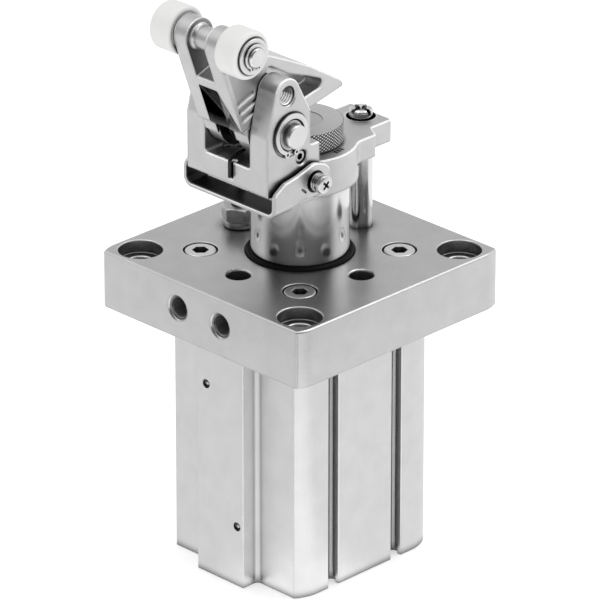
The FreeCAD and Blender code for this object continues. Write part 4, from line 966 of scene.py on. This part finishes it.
def make_lever():
    """The toggle lever, built upright about its axle and leant forward at the end."""
    wide, half = 12.4, LEVER_GAP
    eye, eye_radius = (-7.33, 45.2), 7.4
    back, front = eye[0] + eye_radius, eye[0] - eye_radius
    foot, chin, under = 12.0, 7.55, -4.0
    outline = arc(eye, eye_radius, 0, 180) + [(front, chin)]
    outline += arc((0, 0), foot, 180 - math.degrees(math.asin(chin / foot)),
                   360 + math.degrees(math.asin(under / foot)))
    outline += rounded([(0, 0), (24.34, -5.87), (40.1, -7.9, 1.2), (39.4, -4.6, 2), (26.6, 11.6),
                        (14.2, 24.6), (8.5, 30.2, 5), (back, 33.0, 4), (back, eye[1])])[1:-1]
    held = prism(outline, -wide, wide, "x")
    recess = rounded([
        (5.0, 26.6, 1.2), (8.6, 24.4, 1.5), (15.7, 15.6, 8), (24.7, 7.8, 8), (30.4, 2.4, 2.2),
        (29.2, -0.8, 2.2), (17.5, 0.9, 2), (9.6, 9.9, 3),
    ])
    web, groove_deep = 3.0, 0.9
    tools = []
    for sign in (-1, 1):
        tools.append(prism(recess, sign * web, sign * (wide + 1), "x"))
        for low, high in ((11.4, 13.2), (15.2, 17.0), (19.0, 21.0)):
            groove = rounded([(*spot, 0.8) for spot in box_outline(-12.6, low, -3.0, high)])
            tools.append(prism(groove, sign * (wide - groove_deep), sign * (wide + 1), "x"))
    tools.append(prism(box_outline(-half, -30, half, 26.06), -30, 0, "y"))
    tools.append(prism(disc(0, 0, 22.6, 96), -half, half, "x"))
    tools.append(prism(box_outline(-half, 30.4, half, 80), -60, 60, "y"))
    cut(held, *tools)
    facet = [(front, chin + 0.5), (front, chin), (-13, 5.3), (-13, 0.4), (-11.5, 0.4), (-8.5, chin + 0.5)]
    for sign in (-1, 1):
        join(held, prism(facet, sign * (half + 0.01), sign * (wide - 0.01), "x"))
    sleeve_half = [(4.8, half - 1.4), (5.6, half - 0.4), (5.6, half + 0.5), (0, half + 0.5)]
    join(held, lathe(both_ways(sleeve_half), (0, *eye), "x", 64))
    cut(held, prism(disc(0, 0, 14.1, 72), -20, 20, "x"), prism(disc(*eye, 8.06, 64), -20, 20, "x"))
    held.data.transform(Matrix.Translation(AXLE * MM) @ Matrix.Rotation(LEAN, 4, "X"))
    stand_for(soften(held, 0.35, 3), "stop_lever")


def make_clip(node, inner, outer, axis, opening):
    """An external circlip: an open ring that widens into two lugs with holes."""
    low, high = (corner.x for corner in in_mm(node))
    centre = (axis.y, axis.z)
    outer_line, inner_line = [], []
    for a in range(opening, 361 - opening, 5):
        swell = (outer - inner) * (0.62 + 0.38 * math.sin(math.radians(a / 2)))
        outer_line.append(polar(centre, inner + swell, a - 90))
        inner_line.append(polar(centre, inner, a - 90))
    ring = prism(outer_line + list(reversed(inner_line)), low, high, "x")
    spots = [polar(centre, (inner + outer) / 2 + 0.25, -90 + sign * opening * 0.8) for sign in (-1, 1)]
    join(ring, *[prism(disc(*spot, (outer - inner) * 1.15, 24), low, high, "x") for spot in spots])
    cut(ring, *[prism(disc(*spot, (outer - inner) * 0.5, 20), low - 1, high + 1, "x") for spot in spots])
    stand_for(soften(ring, 0.06, 1), node)


def make_axles():
    """The lever's axle, stepped under its circlips, and the rollers' plain axle, with all four circlips."""
    end, groove = in_mm("lever_axle")[1].x, HEAD_HALF + 0.9
    half = [(7, HEAD_HALF), (6.2, HEAD_HALF), (6.2, groove), (5, groove), (5, end - 0.5), (4.6, end)]
    stand_for(soften(lathe(both_ways([*half, (0, end)]), AXLE, "x"), 0.1), "lever_axle")
    end = in_mm("roller_axle")[1].x
    pin = lathe(both_ways([(4, end - 0.5), (3.4, end), (0, end)]), ROLLER_AXLE, "x", 72)
    stand_for(soften(pin, 0.1), "roller_axle")
    for name, _, _ in SIDES:
        make_clip(f"axle_clip_{name}", 6.8, 9.0, AXLE, 22)
        make_clip(f"roller_clip_{name}", 4.0, 5.4, ROLLER_AXLE, 26)


def make_rollers():
    crown = 1.9
    for name, along, _ in SIDES:
        inner, outer = outward(f"roller_{name}")
        low, high = levels(f"roller_{name}")
        radius = (high - low) / 2
        inside = [(4.05, inner), (7.2, inner), (7.4, inner + 0.25), (8.2, inner + 0.25),
                  (radius - 0.9, inner + 0.1)]
        inner_edge = [polar((radius - 1, inner + 1.1), 1, a) for a in range(-80, 1, 10)]
        outer_edge = [polar((radius - crown, outer - crown), crown, a) for a in range(0, 91, 9)]
        face = [(8.1, outer), (7.9, outer - 0.15), (4.05, outer - 0.15)]
        roller = lathe(inside + inner_edge + outer_edge + face, ROLLER_AXLE, along, 128)
        stand_for(shade(roller, 40), f"roller_{name}")
        inner, outer = outward(f"roller_washer_{name}")
        washer = lathe([(4.02, inner), (7.3, inner), (7.4, inner + 0.1), (7.4, outer - 0.15), (7.25, outer),
                        (4.02, outer)], ROLLER_AXLE, along)
        stand_for(shade(washer, 30), f"roller_washer_{name}")


def cross_recess(size, deep, centre, side):
    """A Phillips recess: two crossed tapering blades, sunk from the head's face."""
    x, y, z = centre
    mouth = (x + side * 0.5, size * 1.15, size * 0.24)
    tip = (x - side * deep, size * 0.4, size * 0.14)
    blades = []
    for degrees in (45, 135):
        a = math.radians(degrees)
        spots = [(level, y + u * math.cos(a) - v * math.sin(a), z + u * math.sin(a) + v * math.cos(a))
                 for level, long, thick in (mouth, tip) for u, v in box_outline(-long, -thick, long, thick)]
        faces = [(0, 1, 2, 3), (7, 6, 5, 4), (0, 4, 5, 1), (1, 5, 6, 2), (2, 6, 7, 3), (3, 7, 4, 0)]
        blades.append(solid(spots, faces))
    return join(*blades)


def make_side_screws():
    """The bail's two screws and one coil spring, and the grub screws in the cheeks."""
    radius, shoulder, shank = 3.8, 3, 2.1
    for name, along, sign in SIDES:
        inner, outer = outward(f"bail_screw_{name}")
        head = outer - 2.4
        section = [(0, inner), (shank, inner), (shank, HEAD_HALF), (shoulder, HEAD_HALF), (shoulder, head),
                   (3.7, head), (radius, head + 0.2), (radius, outer - 0.9),
                   *dome(radius, 0.9, outer, range(15, 90, 12)), (0, outer)]
        screw = lathe(section, PIVOT, along, 72)
        cut(screw, cross_recess(2.3, 1.5, (sign * outer, PIVOT.y, PIVOT.z), sign))
        stand_for(soften(screw, 0.06, 1), f"bail_screw_{name}")
    low, high = (corner.x for corner in in_mm("bail_spring"))
    coil = wire(helix(PIVOT, 3.45, low + 0.4, high - 0.4, 2.5, "x"), 0.36, 12)
    stand_for(shade(coil, 60), "bail_spring")
    for name, along, sign in SIDES:
        low, high = in_mm(f"grub_screw_{name}")
        inner, outer = outward(f"grub_screw_{name}")
        y, z = (low.y + high.y) / 2, (low.z + high.z) / 2
        grub = lathe([(0, inner), (2.8, inner), (2.8, outer - 0.4), (2.4, outer), (0, outer)],
                     (0, y, z), along, 48)
        cut(grub, prism(hexagon(y, z, 2.5, 15), sign * (outer - 2.2), sign * (outer + 1), "x"))
        stand_for(soften(grub, 0.06, 1), f"grub_screw_{name}")


def make_lever_spring():
    """A torsion spring: coils round the lever's axle, and one leg down the head's front."""
    foot = levels("lever_spring")[0]
    radius, thin, turns, steps, half = 8.5, 0.7, 4.6, 32, 3.9
    bend = Vector((2.5, -13.6, -12.6))
    leave = math.degrees(math.atan2(bend.z, bend.y) + math.acos(radius / math.hypot(bend.y, bend.z)))
    tangent = Vector((half, *polar((0, 0), radius, leave)))
    drop = Vector((bend.x, bend.y, foot + thin - AXLE.z))
    path = [drop, bend + Vector((0, 0, -1.0)), bend + Vector((0, 0.25, -0.35)),
            bend + Vector((0.05, 0.8, 0.1)), bend.lerp(tangent, 0.5)]
    for i in range(round(turns * steps) + 1):
        across = half - 2 * half * i / (turns * steps)
        path.append(Vector((across, *polar((0, 0), radius, leave + 360 * i / steps))))
    spring = wire([spot + AXLE for spot in path], thin, 14)
    stand_for(shade(spring, 60), "lever_spring")


def make_bail():
    """Bent from one strip: a web in front, and an arm on each side of the head."""
    inner, bend, low, high, thick = BAIL_INNER, BAIL_BEND, BAIL_LOW, PIVOT.z + 10, 1.8
    outer = inner + thick
    right = arc((inner - bend, low + bend), bend + thick, -90, 0, 10)
    right += [(outer, high), (inner, high)] + arc((inner - bend, low + bend), bend, 0, -90, 10)
    strip = prism(right + mirrored(right), -60, 20, "y")
    side = rounded([(y, PIVOT.z + rise, *radius) for y, rise, *radius in (
        (-39.7, -12, 0.5), (-39.7, -2.1, 1.5), (-39.2, 0.2, 2.5), (-33.9, 3.7, 3), (-26.8, 4.9, 8),
        (-17.0, 7.9, 6), (-9.4, 5.2, 6), (-7.4, -3.4, 1.5), (-16.2, -6.9, 8), (-23.9, -6.0, 8),
        (-29.3, -8.0, 0.8), (-29.3, -12))])
    keep_common(strip, prism(side, -30, 30, "x"))
    mark = [(outer, y, PIVOT.z + rise) for y, rise in ((-24.6, -1.2), (-23.4, -2.2), (-22.2, -3.4))]
    cut(strip, prism(disc(PIVOT.y, PIVOT.z, 6.1, 48), -30, 30, "x"), wire(mark, 0.35, 8))
    stand_for(soften(strip, 0.25), "release_bail")


make_body()
make_plugs()
make_flange()
make_joining_screws()
make_wiper()
make_rod()
make_guide_rod()
make_return_spring()
make_stop_post()
make_ring()
make_plunger()
make_head()
make_lever()
make_axles()
make_rollers()
make_side_screws()
make_lever_spring()
make_bail()


# The camera stands where the photograph was taken from
AZIMUTH = math.radians(45.035)
ELEVATION = math.radians(24.826)
DISTANCE = 2.57216
SIDEWAYS = 0.000013
LOWERED = -0.020367
SENSOR_MM = 36.0
LENS_MM = 385.05

# How bright the studio is to shiny surfaces, from the horizon up, and the floor by side
WALL_LOW = 0.72
WALL_MIDDLE = 0.62
ROOF_EXTRA = 0.35
BOX_EXTRA = 2.0
WINDOW_EXTRA = 1.5
DARK_SHARE = 0.95
DARK_MIDDLE = 0.08
SOFT_LIGHT = 0.75
LAMP_SIZE = 0.7
FLOOR_LEFT = 0.92
FLOOR_RIGHT = 1.0
FLOOR_FRONT = 1.35


def bearing(azimuth, elevation):
    """The direction at an azimuth, counted from -Y towards +X, and an elevation."""
    level = math.cos(elevation)
    return Vector((math.sin(azimuth) * level, -math.cos(azimuth) * level, math.sin(elevation)))


def add_camera():
    back = bearing(AZIMUTH, ELEVATION)
    right = Vector((math.cos(AZIMUTH), math.sin(AZIMUTH), 0))
    up = back.cross(right)
    data = bpy.data.cameras.new("camera")
    data.sensor_width = SENSOR_MM
    data.lens = LENS_MM
    data.clip_end = 50
    camera = new_object("camera", data)
    spot = back * DISTANCE + right * SIDEWAYS + up * LOWERED + Vector((0, 0, DECK * MM))
    turn = Matrix((right, up, back)).transposed().to_4x4()
    camera.matrix_world = Matrix.Translation(spot) @ turn
    scene.camera = camera


def add_lamp(name, azimuth, elevation, distance, watts):
    """A soft square lamp, aimed at the middle of the part."""
    data = bpy.data.lights.new(name, "AREA")
    data.size = LAMP_SIZE
    data.energy = watts
    lamp = new_object(name, data)
    aim = bearing(math.radians(azimuth), math.radians(elevation))
    lamp.location = aim * distance + Vector((0, 0, 0.03))
    lamp.rotation_euler = aim.to_track_quat("Z", "Y").to_euler()


def facing(nodes, place):
    """How far a direction or spot lies towards the camera's side, and how far to its right, -1 to 1."""
    x, y = nodes.part_of(place, "X"), nodes.part_of(place, "Y")
    reach = (x * x + y * y + 1e-9) ** 0.5
    towards = (x * math.sin(AZIMUTH) - y * math.cos(AZIMUTH)) / reach
    rightwards = (x * math.cos(AZIMUTH) + y * math.sin(AZIMUTH)) / reach
    return towards, rightwards


def add_world():
    """White to the camera; to shiny surfaces a pale studio, dark behind the camera, with lights beside."""
    world = bpy.data.worlds.new("studio")
    scene.world = world
    world.use_nodes = True
    nodes = Nodes(world.node_tree)
    nodes.tree.nodes.clear()
    way = nodes.node("TexCoord", output="Generated")
    towards, rightwards = facing(nodes, way)
    height = nodes.part_of(way, "Z")
    wall = height.ramp(0.12, 0.38, WALL_LOW, WALL_MIDDLE)
    roof = height.ramp(0.55, 0.95, 0.0, ROOF_EXTRA)
    dark = towards.ramp(-0.05, 0.4) * height.fall(0.7, 0.9)
    middle = towards.ramp(0.5, 1.0, 0.0, DARK_MIDDLE)
    boxes = ((towards + 0.2) ** 2.0).fall(0.02, 0.05)
    boxes = boxes * height.ramp(0.40, 0.50) * height.fall(0.75, 0.85)
    window = ((towards + 0.55) ** 2.0).fall(0.02, 0.06)
    window = window * rightwards.ramp(0.3, 0.6) * height.fall(0.5, 0.65)
    studio = (wall + roof) * (1 - dark * DARK_SHARE) + middle * dark
    studio = studio + boxes * BOX_EXTRA + window * WINDOW_EXTRA
    glossy = nodes.node("LightPath", output="Is Glossy Ray")
    seen = nodes.node("LightPath", output="Is Camera Ray")
    lit = nodes.mix(glossy, grey(SOFT_LIGHT), nodes.mix(studio, grey(0.0), grey(1.0)))
    sockets = {"Color": nodes.mix(seen, lit, grey(1.0)), "Strength": 1.0}
    shade = nodes.node("Background", None, sockets)
    nodes.node("OutputWorld", None, {"Surface": shade}, output=None)


def add_floor():
    """White under the part's own shadow; to shiny surfaces brighter in front, with one dark band."""
    mesh = bpy.data.meshes.new("floor")
    half, gap = 6.0, 0.0002
    corners = [(x, y, BODY_LOW * MM - gap) for x, y in box_outline(-half, -half, half, half)]
    mesh.from_pydata(corners, [], [(0, 1, 2, 3)])
    floor = new_object("floor", mesh)
    paint = Paint("floor_white")
    towards, rightwards = facing(paint, paint.spot)
    reach = span(paint.part_of(paint.spot, "X"), paint.part_of(paint.spot, "Y"))
    far = reach.ramp(0.30, 0.34) * reach.fall(0.38, 0.40) * towards.ramp(-0.05, 0.4)
    level = rightwards.ramp(-0.8, 0.9, FLOOR_LEFT, FLOOR_RIGHT) * towards.ramp(0.5, 0.95, 1.0, FLOOR_FRONT)
    level = level * (1 - far * DARK_SHARE)
    paint.set(Base_Color=grey(0.75), Roughness=0.9)
    lit = paint.node("Emission", None, {"Color": grey(1.0), "Strength": 0.55})
    seen = paint.node("AddShader", None, {0: Value(paint, paint.shader.outputs[0]), 1: lit})
    colour = paint.mix(level / 2, grey(0.0), grey(2.0))
    glow = paint.node("Emission", None, {"Color": colour, "Strength": 1.0})
    shown = paint.node("LightPath", output="Is Camera Ray")
    chosen = paint.node("MixShader", None, {0: shown, 1: glow, 2: seen})
    paint.feed(paint.found("OutputMaterial").inputs["Surface"], chosen)
    mesh.materials.append(paint.material)


add_camera()
add_lamp("key", 140, 55, 1.4, 3)
add_lamp("side", -50, 70, 1.6, 2)
add_world()
add_floor()
